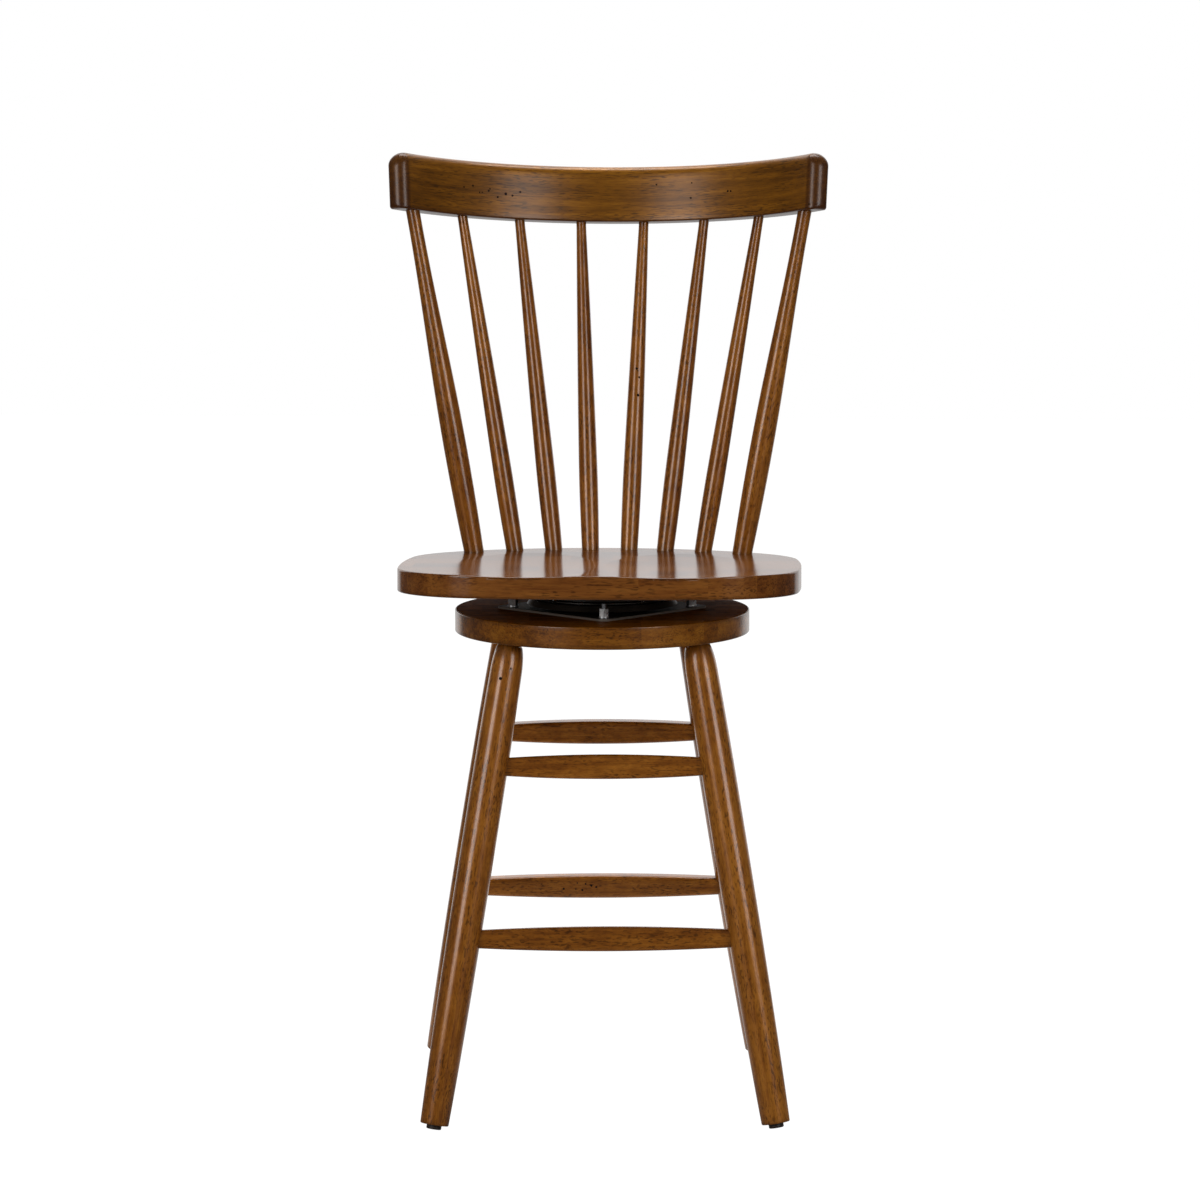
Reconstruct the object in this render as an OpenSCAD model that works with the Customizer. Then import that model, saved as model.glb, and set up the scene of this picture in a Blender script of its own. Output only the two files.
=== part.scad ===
// Swivel counter chair: a spindle back and a saddle seat that turn on a ball
// bearing swivel, over a round disc with four splayed legs and stretchers.
// Millimetres, +Z up. The floor is at Z = 0, the chair faces -Y, and the origin
// is under the middle of the chair's outline. The base stands turned under the seat.

/* [Seat board] */
// Height of the seat's top above the floor, on the swivel axis
seat_h = 630.9; // [580:0.1:680]
// Width of the seat board
seat_w = 466; // [450:1:490]
// Depth of the seat board, from its front edge to its back edge
seat_d = 426; // [410:1:450]
// Thickness of the seat board
seat_t = 26.5; // [22:0.5:30]
// Backward tilt of the seat, in degrees
seat_tilt = 2.3; // [1:0.1:3]
// Radius of the slight bow of the seat's front edge, seen from above
seat_front_r = 1250; // [1000:10:3000]
// Radius of the slight bow of the seat's sides, seen from above
seat_side_r = 900; // [700:10:1500]
// Distance of the seat's widest place in front of the seat's middle
seat_widest = 40; // [20:1:60]
// Radius of the seat's back edge, seen from above
seat_back_r = 270; // [264:1:300]
// Radius between the back edge and the sides
seat_shoulder_r = 140; // [100:1:160]
// Radius of the front corners
seat_corner_r = 110; // [70:1:120]
// Easing of the seat's upper and lower edges
seat_edge = 1.6; // [0.5:0.1:3]
// Depth of the two shallow hollows in the seat's top
hollow_depth = 3.2; // [1:0.1:4]
// Sideways distance of each hollow's middle from the seat's centre line
hollow_x = 88; // [75:1:100]
// Half the width of each hollow
hollow_half_w = 84; // [60:1:90]

/* [Back] */
// Sideways place of the two middle spindles at the seat
middle_seat_x = 23.4; // [20:0.2:28]
// Sideways place of the next spindle outwards at the seat
second_seat_x = 67.4; // [62:0.2:74]
// Sideways place of the third spindle outwards at the seat
third_seat_x = 113.5; // [108:0.2:120]
// Sideways place of the back posts at the seat
post_seat_x = 161; // [155:0.2:166]
// Distance between neighbouring spindles at the crest rail, along its bend
crest_pitch = 76.2; // [72:0.2:78]
// Distance of the middle spindles in front of the seat's back edge
spindle_inset = 25; // [18:1:33]
// Radius of the curve along which the spindles enter the seat
spindle_curve_r = 290; // [260:5:330]
// Diameter of a thin spindle at the seat
spindle_foot_d = 21; // [18:0.5:24]
// Largest diameter of a thin spindle
spindle_belly_d = 22.8; // [20:0.2:26]
// Diameter of a thin spindle at the crest rail
spindle_tip_d = 12; // [10:0.2:14]
// Height of a thin spindle's thickest place above the seat, along the spindle
spindle_belly_h = 86; // [60:1:120]
// Diameter of a back post at the seat
post_foot_d = 24; // [21:0.5:27]
// Largest diameter of a back post
post_belly_d = 27.6; // [24:0.2:30]
// Diameter of a back post at the crest rail
post_tip_d = 16.4; // [14:0.2:18]
// Height of a back post's thickest place above the seat, along the post
post_belly_h = 122; // [90:1:150]
// Depth of the spindles' sockets in the seat board, along the spindle
seat_socket = 19; // [12:0.5:20]
// Depth of the spindles' sockets in the crest rail, along the spindle
crest_socket = 30; // [20:1:40]

/* [Crest rail] */
// Distance of the rail's underside behind the middle spindles' feet, in its middle
crest_behind = 68; // [52:1:87]
// Height of the rail's underside above the floor, in its middle
crest_z = 1014.2; // [980:0.1:1040]
// Height of the rail
crest_h = 68; // [60:1:76]
// Thickness of the rail
crest_t = 24; // [23:0.5:28]
// Length of the rail's top along its bend, at the middle of its thickness
crest_length = 605; // [590:0.5:640]
// How much nearer the middle each end is at the rail's underside than at its top
crest_slant = 5; // [0:0.5:8]
// Radius of the rail's bend, at the middle of its thickness
crest_bend_r = 302; // [280:1:340]
// Recline of the rail from upright, in degrees
crest_recline = 9.8; // [8:0.1:12]
// Radius of the rail's ends on their front edge
crest_end_front_r = 14.5; // [10:0.5:16]
// Radius of the rail's ends on their back edge
crest_end_back_r = 6; // [4:0.5:7]
// Radius of the rail's upper outer corners
crest_corner_top_r = 18; // [8:0.5:20]
// Radius of the rail's lower outer corners
crest_corner_low_r = 6; // [3:0.5:10]
// Rounding of the rail's long upper edges
crest_round_top = 10.5; // [3:0.5:10.5]
// Rounding of the rail's long lower edges
crest_round_low = 2.5; // [1:0.5:4]

/* [Base] */
// Turn of the base under the seat, as it stands, in degrees
base_turn = 3.8; // [-10:0.1:10]
// Diameter of the round disc
disc_d = 344.5; // [338:0.5:360]
// Thickness of the round disc
disc_t = 26; // [24:0.1:30]
// Rounding of the disc's edges
disc_round = 1.5; // [1:0.5:5]
// Distance of each leg's axis from the swivel axis in X and in Y, at the floor
foot_spread = 196.5; // [185:0.5:210]
// The same distance at the disc's underside
top_spread = 107; // [100:0.5:109]
// Radius of a leg at its foot
leg_foot_r = 16.3; // [14:0.1:18]
// Largest radius of a leg
leg_belly_r = 19.7; // [18.6:0.1:21]
// Distance of a leg's thickest place from the floor, along the leg
leg_belly_s = 380; // [300:5:420]
// Radius of a leg where its round shoulder starts
leg_shoulder_r = 18.45; // [17.5:0.05:18.5]
// Length of the round shoulder under the disc
leg_shoulder_h = 38; // [20:1:45]
// Radius of a leg's tenon in the disc
leg_tenon_r = 11; // [10:0.5:13]
// Depth of the legs' sockets in the disc
leg_socket = 18; // [12:0.5:18]

/* [Stretchers] */
// Height of the front and rear upper stretchers' middle line
stretcher_upper_z = 409.5; // [380:0.5:440]
// Height of the front and rear lower stretchers' middle line
stretcher_lower_z = 215; // [180:0.5:240]
// How much higher the left and right stretchers sit
side_rise = 40; // [36:1:60]
// Height of a stretcher's section in its middle
stretcher_mid_h = 28.4; // [24:0.2:32]
// Height of a stretcher's section at the legs
stretcher_end_h = 20; // [16:0.5:24]
// Thickness of a stretcher
stretcher_t = 17; // [14:0.5:20]
// Depth of the stretchers' mortises in the legs
mortise_depth = 10; // [6:0.5:11]

/* [Swivel] */
// Height of the swivel between the disc and the seat, on the swivel axis
swivel_h = 28; // [28:0.5:36]
// Side of the two square plates
plate_w = 177.8; // [170:0.1:190]
// Radius of the plates' corners
plate_corner_r = 10; // [6:1:16]
// Thickness of the two square plates
plate_t = 2.5; // [2:0.1:3]
// Distance between neighbouring fixing holes of a plate
hole_pitch = 147.6; // [140:0.1:150]
// Thickness of the pressed bearing dishes
dish_t = 2; // [1.6:0.1:2.2]
// Diameter of a bearing ball
ball_d = 6.35; // [6:0.05:7]
// Number of bearing balls
ball_count = 14; // [10:1:16]
// Radius of the circle on which the balls run
ball_ring_r = 79.5; // [78:0.5:80]
// Height of the balls' centres above the disc
ball_h = 15.2; // [15:0.1:16]
// Radius of the lower dish's skirt at its lower edge
skirt_r = 88; // [87.5:0.5:90]
// Height of the skirt's lower edge above the disc
skirt_low = 6.1; // [5:0.1:7]
// Radius of the pivot rivet's shank
rivet_r = 6; // [5:0.1:8]

/* [Fastenings] */
// Diameter of the swivel bolts
bolt_d = 6; // [5:0.5:6.5]
// Height of the swivel bolts' tips above the lower plate
bolt_reach = 15.9; // [14.5:0.1:17]
// Size of the nuts across their flats
nut_af = 10; // [9:0.5:12]
// Height of a nut
nut_h = 5; // [4:0.1:5.5]
// Height of a lock nut
lock_nut_h = 4; // [3:0.1:4.5]
// Radius of a washer
washer_r = 6.4; // [6:0.1:7]
// Thickness of a washer
washer_t = 1.2; // [1:0.1:1.6]
// Diameter of a seat screw's shank
screw_d = 5; // [4:0.5:6]
// Depth of the seat screws in the seat board
screw_depth = 17; // [10:0.5:18]

/* [Glides] */
// Radius of a foot glide
glide_r = 8.6; // [7:0.1:10]
// Thickness of a foot glide
glide_t = 5.4; // [4:0.1:7]
// Easing of a foot glide's lower edge
glide_edge = 1.2; // [0.5:0.1:2]
// Length of a glide nail's shank in the leg
nail_depth = 18; // [10:1:24]

/* [Hidden] */

// Colours, as the pieces look
wood_dark = [0.33, 0.19, 0.09];
wood_mid = [0.42, 0.25, 0.12];
wood_warm = [0.47, 0.28, 0.13];
steel_black = [0.10, 0.10, 0.10];
zinc = [0.75, 0.76, 0.78];
plastic_brown = [0.16, 0.10, 0.07];

// Clearances
glue_gap = 0.05; // round a tenon, a socketed end or a fixed shank
pivot_gap = 0.05; // between the rivet's shank and the turning dish
ball_play = 0.15; // round a ball in its groove and in the cage
face_gap = 0.3; // between faces that turn past each other
bolt_clearance = 0.3; // round a bolt in the wood and in the plate

// Fineness of round shapes, of the sweeps and of the pressed forms
$fn = 96;
arc_steps = 10;
far = 600; // larger than any piece that it cuts

// The leg's lean, and lengths along the leg
disc_top = seat_h - seat_t / cos(seat_tilt) - swivel_h;
disc_low = disc_top - disc_t;
leg_slope = (foot_spread - top_spread) / disc_low;
leg_lean = atan(leg_slope * sqrt(2));
plane_lean = atan(leg_slope);
leg_top_s = disc_low / cos(leg_lean);
glide_lift = 1.4; // from the floor to a glide, whose lowest edge is cut flat by the floor
leg_foot_s = glide_lift + glide_t;
leg_edge = 1; // easing of the leg's lower edge

// Levels of the swivel above the disc
groove_bite = 0.45; // depth to which a ball sits in its groove
dish_web_z = plate_t + dish_t; // top of the lower dish's web
groove_z = ball_h - ball_d / 2 + groove_bite; // top of the lower dish's shoulder
flange_z = ball_h + ball_d / 2 - groove_bite; // underside of the upper dish's flange
dish_in_r = 52; // radius of the lower dish's flat web
shoulder_in_r = 70; // inner radius of the lower dish's shoulder
shoulder_out_r = ball_ring_r + 4.5; // outer radius of the shoulder and of the upper flange
cage_half_w = 5;
cage_t = 1.2;
ball_phase = 0.3; // the balls' place round the ring, as a share of their spacing
washer_play = 0.1; // between the pivot washer and the turning web
pivot_washer_t = 1.2;
pivot_head_r = 11;
pivot_head_h = 3;
pivot_tail_r = 10;
pocket_gap = 1; // round the rivet's lower head, in the disc
bolt_circle = hole_pitch / sqrt(2); // distance of the swivel bolts from the swivel axis

// Fastener heads
bolt_head_r = 6;
bolt_head_h = 4;
counterbore_gap = 1.5; // round a bolt's head in the disc's underside
counterbore_h = 6;
screw_head_r = 4.8;
screw_head_h = 2.8;
screw_point = 5; // length of the pointed end
screw_tip_r = 0.6;
nail_r = 1.2;
nail_head_r = 4;
nail_head_h = 1;
nail_head_z = 2; // depth of plastic under the nail's head

// Places behind the swivel axis of the middle spindles, at the seat, and of the rail's underside
spindle_back_y = seat_d / 2 - spindle_inset;
crest_y = spindle_back_y + crest_behind;

// The origin lies under the middle of the chair's outline
back_reach = crest_y + (crest_t / 2 - crest_round_top) * cos(crest_recline)
    + (crest_h - crest_round_top) * sin(crest_recline) + crest_round_top;
front_reach = foot_spread * (cos(base_turn) + abs(sin(base_turn))) + leg_foot_r;
axis_y = -(back_reach - front_reach) / 2;

module on_axis() translate([0, axis_y, 0]) children();
module on_base() on_axis() rotate([0, 0, base_turn]) children();
module on_disc() on_base() translate([0, 0, disc_top]) children();
// The seat's own frame: its origin is on the seat's top, on the swivel axis
module on_seat() on_axis() translate([0, 0, seat_h]) rotate([-seat_tilt, 0, 0]) children();

// Points of an arc round a centre, from one angle to another
function arc_at(c, r, a0, a1, n = arc_steps) =
    [for (i = [0:n]) c + r * [cos(a0 + (a1 - a0) * i / n), sin(a0 + (a1 - a0) * i / n)]];
function mirrored(points) = [for (i = [len(points) - 1:-1:0]) [-points[i].x, points[i].y]];

// Seat board

// Five arcs that touch each other make the right half: front, corner, side, shoulder and back
front_centre = [0, seat_front_r - seat_d / 2];
side_centre = [seat_w / 2 - seat_side_r, -seat_widest];
back_centre = [0, seat_d / 2 - seat_back_r];
// Centre of a smaller arc that touches two larger ones from inside, to the left on the way
// from one centre to the other. The reaches are the differences of the radii.
function between(c, reach_c, d, reach_d) =
    let (line = d - c, gap = norm(line),
        along = (reach_c * reach_c - reach_d * reach_d + gap * gap) / (2 * gap),
        off = sqrt(reach_c * reach_c - along * along))
    c + (along * line + off * [-line.y, line.x]) / gap;
corner_centre = between(front_centre, seat_front_r - seat_corner_r,
    side_centre, seat_side_r - seat_corner_r);
shoulder_centre = between(side_centre, seat_side_r - seat_shoulder_r,
    back_centre, seat_back_r - seat_shoulder_r);
function direction(v) = atan2(v.y, v.x);
front_angle = direction(corner_centre - front_centre);
corner_angle = direction(corner_centre - side_centre);
side_angle = direction(shoulder_centre - side_centre);
shoulder_angle = direction(shoulder_centre - back_centre);
side_steps = 6;
// Points of an arc without its ends
function inner_arc(c, r, a0, a1, n) =
    [for (i = [1:n - 1]) c + r * [cos(a0 + (a1 - a0) * i / n), sin(a0 + (a1 - a0) * i / n)]];
// The right half of the outline, drawn in by a distance, from the front to the back
function seat_half(inset) = concat(
    inner_arc(front_centre, seat_front_r - inset, -90, front_angle, side_steps),
    arc_at(corner_centre, seat_corner_r - inset, front_angle, corner_angle),
    inner_arc(side_centre, seat_side_r - inset, corner_angle, side_angle, side_steps),
    arc_at(shoulder_centre, seat_shoulder_r - inset, side_angle, shoulder_angle),
    inner_arc(back_centre, seat_back_r - inset, shoulder_angle, 90, arc_steps));
function seat_outline(inset) = concat([[0, inset - seat_d / 2]], seat_half(inset),
    [[0, seat_d / 2 - inset]], mirrored(seat_half(inset)));

// The board's edges are eased by a small slope between four outlines
seat_rings = [[seat_edge, -seat_t], [0, seat_edge - seat_t], [0, -seat_edge], [seat_edge, 0]];
seat_points = [for (r = seat_rings) each [for (p = seat_outline(r[0])) [p.x, p.y, r[1]]]];
seat_ring_n = len(seat_outline(0));
seat_faces = concat(
    [[for (j = [0:seat_ring_n - 1]) j]],
    [for (i = [0:len(seat_rings) - 2], j = [0:seat_ring_n - 1])
        let (a = i * seat_ring_n + j, b = i * seat_ring_n + (j + 1) % seat_ring_n)
        [a, a + seat_ring_n, b + seat_ring_n, b]],
    [[for (j = [seat_ring_n - 1:-1:0]) (len(seat_rings) - 1) * seat_ring_n + j]]);

// One hollow is cut by a long barrel that lies along the seat, front to back
hollow_y = -80; // the hollows' middle, in front of the swivel axis
hollow_half_l = 205;
barrel_over = 1.12; // the barrel runs on past the hollow, to above the seat
barrel_steps = 8; // bands from the barrel's middle to one end
barrel_r = (hollow_half_w * hollow_half_w + hollow_depth * hollow_depth) / (2 * hollow_depth);
barrel_curve = [for (i = [-barrel_steps:barrel_steps]) let (u = barrel_over * i / barrel_steps)
    [barrel_r - hollow_depth * u * u, hollow_half_l * u]];

module hollow_cut(side) {
    end = hollow_half_l * barrel_over;
    translate([side * hollow_x, hollow_y, barrel_r - hollow_depth]) rotate([90, 0, 0])
        rotate_extrude($fn = 256) polygon(concat([[0, -end]], barrel_curve, [[0, end]]));
}

module seat_board() {
    color(wood_mid) difference() {
        on_seat() difference() {
            polyhedron(seat_points, seat_faces);
            hollow_cut(-1);
            hollow_cut(1);
            on_each_screw() seat_screw(glue_gap);
        }
        for (i = [0:7]) spindle_foot(i, glue_gap);
    }
}

// Spindles and back posts, numbered 0 to 7 from the left

seat_x = [middle_seat_x, second_seat_x, third_seat_x, post_seat_x];
foot_entry = 6; // a spindle is straight for this length above the seat board
crest_entry = 8; // and for this length below the crest rail
function is_post(i) = i == 0 || i == 7;
function pair_of(i) = i < 4 ? 3 - i : i - 4;
function side_of(i) = i < 4 ? -1 : 1;
function seat_point_y(x) = spindle_back_y - spindle_curve_r
    + sqrt(spindle_curve_r * spindle_curve_r - x * x);
function seat_point(i) = let (x = seat_x[pair_of(i)], y = seat_point_y(x))
    [side_of(i) * x, y, seat_h - y * tan(seat_tilt)];
// The turn round the rail's bend at a distance along it, from the rail's middle
function bend_angle(s) = s / crest_bend_r * 180 / PI;
function crest_point(i) = let (a = bend_angle((pair_of(i) + 0.5) * crest_pitch),
        drop = crest_bend_r * (1 - cos(a)))
    [side_of(i) * crest_bend_r * sin(a), crest_y - drop * cos(crest_recline),
     crest_z + drop * sin(crest_recline)];
function spindle_length(i) = norm(crest_point(i) - seat_point(i));
function foot_r(i) = (is_post(i) ? post_foot_d : spindle_foot_d) / 2;
function belly_r(i) = (is_post(i) ? post_belly_d : spindle_belly_d) / 2;
function tip_r(i) = (is_post(i) ? post_tip_d : spindle_tip_d) / 2;
function belly_s(i) = is_post(i) ? post_belly_h : spindle_belly_h;

// A thin spindle tapers evenly from its belly, and a post eases in and out
taper_power = 1.3;
function taper(i, u) = is_post(i) ? (1 + cos(180 * u)) / 2 : 1 - pow(u, taper_power);
function spindle_r(i, s) = s < belly_s(i)
    ? belly_r(i) - (belly_r(i) - foot_r(i))
        * pow((belly_s(i) - s) / (belly_s(i) - foot_entry), 2)
    : tip_r(i) + (belly_r(i) - tip_r(i))
        * taper(i, (s - belly_s(i)) / (spindle_length(i) - crest_entry - belly_s(i)));

// Puts a shape that stands on +Z on the line of spindle i, from the seat up
module along_spindle(i) {
    d = crest_point(i) - seat_point(i);
    on_axis() translate(seat_point(i))
        rotate([0, acos(d.z / norm(d)), atan2(d.y, d.x)]) children();
}

module spindle_foot(i, gap = 0) {
    along_spindle(i) translate([0, 0, -seat_socket - gap])
        cylinder(h = seat_socket + gap + foot_entry, r = foot_r(i) + gap);
}

module spindle_tip(i, gap = 0) {
    along_spindle(i) translate([0, 0, spindle_length(i) - crest_entry])
        cylinder(h = crest_entry + crest_socket + gap, r = tip_r(i) + gap);
}

spindle_steps = 22;
module spindle(i) {
    low = -seat_socket;
    taper_end = spindle_length(i) - crest_entry;
    high = spindle_length(i) + crest_socket;
    profile = concat([[0, low], [foot_r(i), low], [foot_r(i), foot_entry]],
        [for (k = [1:spindle_steps - 1])
            let (s = foot_entry + (taper_end - foot_entry) * k / spindle_steps)
            [spindle_r(i, s), s]],
        [[tip_r(i), taper_end], [tip_r(i), high], [0, high]]);
    color(wood_warm) along_spindle(i) rotate_extrude() polygon(profile);
}

// Crest rail: one section swept along the bend, which draws in at both ends

end_steps = 8;
mid_steps = 40;
end_len = max(crest_end_front_r, crest_end_back_r, crest_corner_top_r, crest_corner_low_r);
// Distances along the bend from an end, closer together where the end rounds off
end_stations = [for (k = [0:end_steps]) end_len * (1 - cos(90 * k / end_steps))];
half_length = crest_length / 2;
mid_length = 2 * (half_length - end_len);
stations = concat([for (s = end_stations) s - half_length],
    [for (k = [1:mid_steps - 1]) end_len - half_length + mid_length * k / mid_steps],
    [for (k = [end_steps:-1:0]) half_length - end_stations[k]]);
// How far an edge of radius r is drawn in at a distance from the end
function draw_in(r, d) = d >= r ? 0 : r - sqrt(r * r - (r - d) * (r - d));
section_steps = 5;
function crest_section(d) =
    let (f = -crest_t / 2 + draw_in(crest_end_front_r, d),
         b = crest_t / 2 - draw_in(crest_end_back_r, d),
         low = draw_in(crest_corner_low_r, d),
         top = crest_h - draw_in(crest_corner_top_r, d),
         rt = min(crest_round_top, (b - f) / 2.2),
         rl = min(crest_round_low, (b - f) / 2.2))
    concat(arc_at([f + rl, low + rl], rl, 180, 270, section_steps),
        arc_at([b - rl, low + rl], rl, 270, 360, section_steps),
        arc_at([b - rt, top - rt], rt, 0, 90, section_steps),
        arc_at([f + rt, top - rt], rt, 90, 180, section_steps));
// Towards the underside the whole rail is a little shorter, so that its ends slant
function slanted(s, z) = s * (1 - crest_slant / half_length * (1 - z / crest_h));
function crest_ring(s) =
    [for (p = crest_section(half_length - abs(s))) let (a = bend_angle(slanted(s, p.y)))
        [(crest_bend_r + p.x) * sin(a), (crest_bend_r + p.x) * cos(a) - crest_bend_r, p.y]];
ring_size = 4 * (section_steps + 1);
crest_points = [for (s = stations) each crest_ring(s)];
crest_last = (len(stations) - 1) * ring_size;
crest_faces = concat(
    [for (j = [1:ring_size - 2]) [0, j, j + 1]],
    [for (i = [0:len(stations) - 2], j = [0:ring_size - 1])
        let (a = i * ring_size + j, b = i * ring_size + (j + 1) % ring_size)
        [b, a, a + ring_size]],
    [for (i = [0:len(stations) - 2], j = [0:ring_size - 1])
        let (a = i * ring_size + j, b = i * ring_size + (j + 1) % ring_size)
        [b, a + ring_size, b + ring_size]],
    [for (j = [1:ring_size - 2]) [crest_last, crest_last + j + 1, crest_last + j]]);

module crest_rail() {
    color(wood_dark) difference() {
        on_axis() translate([0, crest_y, crest_z]) rotate([-crest_recline, 0, 0])
            polyhedron(crest_points, crest_faces);
        for (i = [0:7]) spindle_tip(i, glue_gap);
    }
}

// Base disc

function disc_profile(r, t, e) = concat([[0, 0]],
    arc_at([r - e, e], e, -90, 0, 6), arc_at([r - e, t - e], e, 0, 90, 6), [[0, t]]);

module base_disc() {
    color(wood_mid) difference() {
        on_base() translate([0, 0, disc_low])
            rotate_extrude($fn = 192) polygon(disc_profile(disc_d / 2, disc_t, disc_round));
        for (q = [0:3]) {
            leg_tenon(q, glue_gap);
            at_bolt(q) {
                translate([0, 0, -disc_t - 1])
                    cylinder(h = disc_t + 2, d = bolt_d + 2 * bolt_clearance);
                translate([0, 0, -disc_t - 1])
                    cylinder(h = counterbore_h + 1, r = bolt_head_r + counterbore_gap);
            }
        }
        on_disc() translate([0, 0, -pivot_head_h - pocket_gap])
            cylinder(h = pivot_head_h + pocket_gap + 1, r = pivot_tail_r + pocket_gap);
    }
}

// Legs, numbered 0 to 3 from the front left, round by the front right

leg_angles = [225, 315, 45, 135];
module along_leg(q) {
    on_base() rotate([0, 0, leg_angles[q]]) translate([foot_spread * sqrt(2), 0, 0])
        rotate([0, -leg_lean, 0]) children();
}

leg_shoulder_s = leg_top_s - leg_shoulder_h;
foot_power = 3;
function leg_r(s) = s < leg_belly_s
    ? leg_belly_r - (leg_belly_r - leg_foot_r)
        * pow((leg_belly_s - s) / (leg_belly_s - leg_foot_s), foot_power)
    : s < leg_shoulder_s
    ? leg_belly_r - (leg_belly_r - leg_shoulder_r)
        * pow((s - leg_belly_s) / (leg_shoulder_s - leg_belly_s), 2)
    : leg_tenon_r + (leg_shoulder_r - leg_tenon_r)
        * sqrt(max(0, 1 - pow((s - leg_shoulder_s) / leg_shoulder_h, 2)));

// The tenon starts below the disc, so that the leaning shoulder clears the wood
shoulder_clear = leg_shoulder_r * tan(leg_lean);
tenon_s = leg_top_s - shoulder_clear;
module leg_tenon(q, gap = 0) {
    along_leg(q) translate([0, 0, tenon_s])
        cylinder(h = shoulder_clear + leg_socket + gap, r = leg_tenon_r + gap);
}

leg_steps = 26;
shoulder_steps = 9;
leg_profile = concat([[0, leg_foot_s], [leg_foot_r - leg_edge, leg_foot_s],
        [leg_foot_r, leg_foot_s + leg_edge]],
    [for (k = [1:leg_steps]) let (s = leg_foot_s + leg_edge
            + (leg_shoulder_s - leg_foot_s - leg_edge) * k / leg_steps) [leg_r(s), s]],
    [for (k = [1:shoulder_steps]) let (s = leg_shoulder_s
            + (leg_shoulder_h - shoulder_clear) * sin(90 * k / shoulder_steps)) [leg_r(s), s]],
    [[leg_tenon_r, tenon_s], [leg_tenon_r, leg_top_s + leg_socket], [0, leg_top_s + leg_socket]]);

module leg(q) {
    color(wood_warm) difference() {
        along_leg(q) rotate_extrude() polygon(leg_profile);
        along_leg(q) translate([0, 0, leg_foot_s - 1])
            cylinder(h = nail_depth + 1 + glue_gap, r = nail_r + glue_gap);
        for (side = [0:3], upper = [false, true]) if (touches(q, side))
            stretcher(side, upper, glue_gap);
    }
}

// Stretchers: side 0 is the front, 1 the right, 2 the rear and 3 the left

function touches(q, side) = q == side || q == (side + 1) % 4;
function stretcher_z(side, upper) =
    (upper ? stretcher_upper_z : stretcher_lower_z) + (side % 2 == 1 ? side_rise : 0);
function spread_at(z) = foot_spread - leg_slope * z;
outline_steps = 16;
function swell(u) = stretcher_end_h / 2 + (stretcher_mid_h - stretcher_end_h) / 2 * (1 - u * u);

module stretcher(side, upper, gap = 0) {
    z = stretcher_z(side, upper);
    half = spread_at(z) - leg_belly_r + mortise_depth;
    top_edge = [for (k = [0:outline_steps]) let (u = 1 - 2 * k / outline_steps)
        [u * (half + gap), swell(u) + gap]];
    low_edge = [for (k = [0:outline_steps]) let (u = 2 * k / outline_steps - 1)
        [u * (half + gap), -swell(u) - gap]];
    color(wood_warm) on_base() rotate([0, 0, 90 * side])
        translate([0, -spread_at(z), z]) rotate([90 - plane_lean, 0, 0])
        translate([0, 0, -stretcher_t / 2 - gap])
        linear_extrude(stretcher_t + 2 * gap) polygon(concat(top_edge, low_edge));
}

// Foot glides and their nails

module foot_glides() {
    color(plastic_brown) intersection() {
        union() for (q = [0:3]) along_leg(q) translate([0, 0, glide_lift]) difference() {
            rotate_extrude() polygon(concat([[0, 0]],
                arc_at([glide_r - glide_edge, glide_edge], glide_edge, -90, 0, 4),
                [[glide_r, glide_t], [0, glide_t]]));
            translate([0, 0, nail_head_z - glue_gap])
                cylinder(h = nail_head_h + 2 * glue_gap, r = nail_head_r + glue_gap);
            translate([0, 0, nail_head_z]) cylinder(h = glide_t, r = nail_r + glue_gap);
        }
        translate([-far, -far, 0]) cube([2 * far, 2 * far, far]);
    }
}

// A round head with a straight shank, in one turned piece
module headed_pin(head_r, head_h, shank_r, length) {
    rotate_extrude() polygon([[0, 0], [head_r, 0], [head_r, head_h], [shank_r, head_h],
        [shank_r, length], [0, length]]);
}

module glide_nails() {
    color(zinc) for (q = [0:3]) along_leg(q) translate([0, 0, glide_lift + nail_head_z])
        headed_pin(nail_head_r, nail_head_h, nail_r, glide_t - nail_head_z + nail_depth);
}

// Swivel: the lower plate stands cornerwise on the disc

module square_plate(hole_d) {
    linear_extrude(plate_t) difference() {
        polygon(concat(
            arc_at([1, -1] * (plate_w / 2 - plate_corner_r), plate_corner_r, -90, 0, 6),
            arc_at([1, 1] * (plate_w / 2 - plate_corner_r), plate_corner_r, 0, 90, 6),
            arc_at([-1, 1] * (plate_w / 2 - plate_corner_r), plate_corner_r, 90, 180, 6),
            arc_at([-1, -1] * (plate_w / 2 - plate_corner_r), plate_corner_r, 180, 270, 6)));
        for (x = [-1, 1], y = [-1, 1]) translate([x, y] * hole_pitch / 2) circle(d = hole_d);
    }
}

module swivel_lower_plate() {
    color(steel_black) on_disc() difference() {
        rotate([0, 0, 45]) square_plate(bolt_d + 2 * bolt_clearance);
        translate([0, 0, -1]) cylinder(h = plate_t + 2, r = rivet_r + glue_gap);
    }
}

// A torus-shaped groove for the balls
module ball_groove() {
    rotate_extrude($fn = 192) translate([ball_ring_r, ball_h]) circle(r = ball_d / 2 + ball_play);
}

module swivel_lower_dish() {
    hole_r = rivet_r + glue_gap;
    color(steel_black) on_disc() difference() {
        rotate_extrude($fn = 192) polygon([[hole_r, plate_t], [dish_in_r + 1, plate_t],
            [shoulder_in_r + 1, groove_z - dish_t], [shoulder_out_r - 1, groove_z - dish_t],
            [skirt_r - dish_t, skirt_low], [skirt_r, skirt_low], [shoulder_out_r, groove_z],
            [shoulder_in_r, groove_z], [dish_in_r, dish_web_z], [hole_r, dish_web_z]]);
        ball_groove();
    }
}

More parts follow.
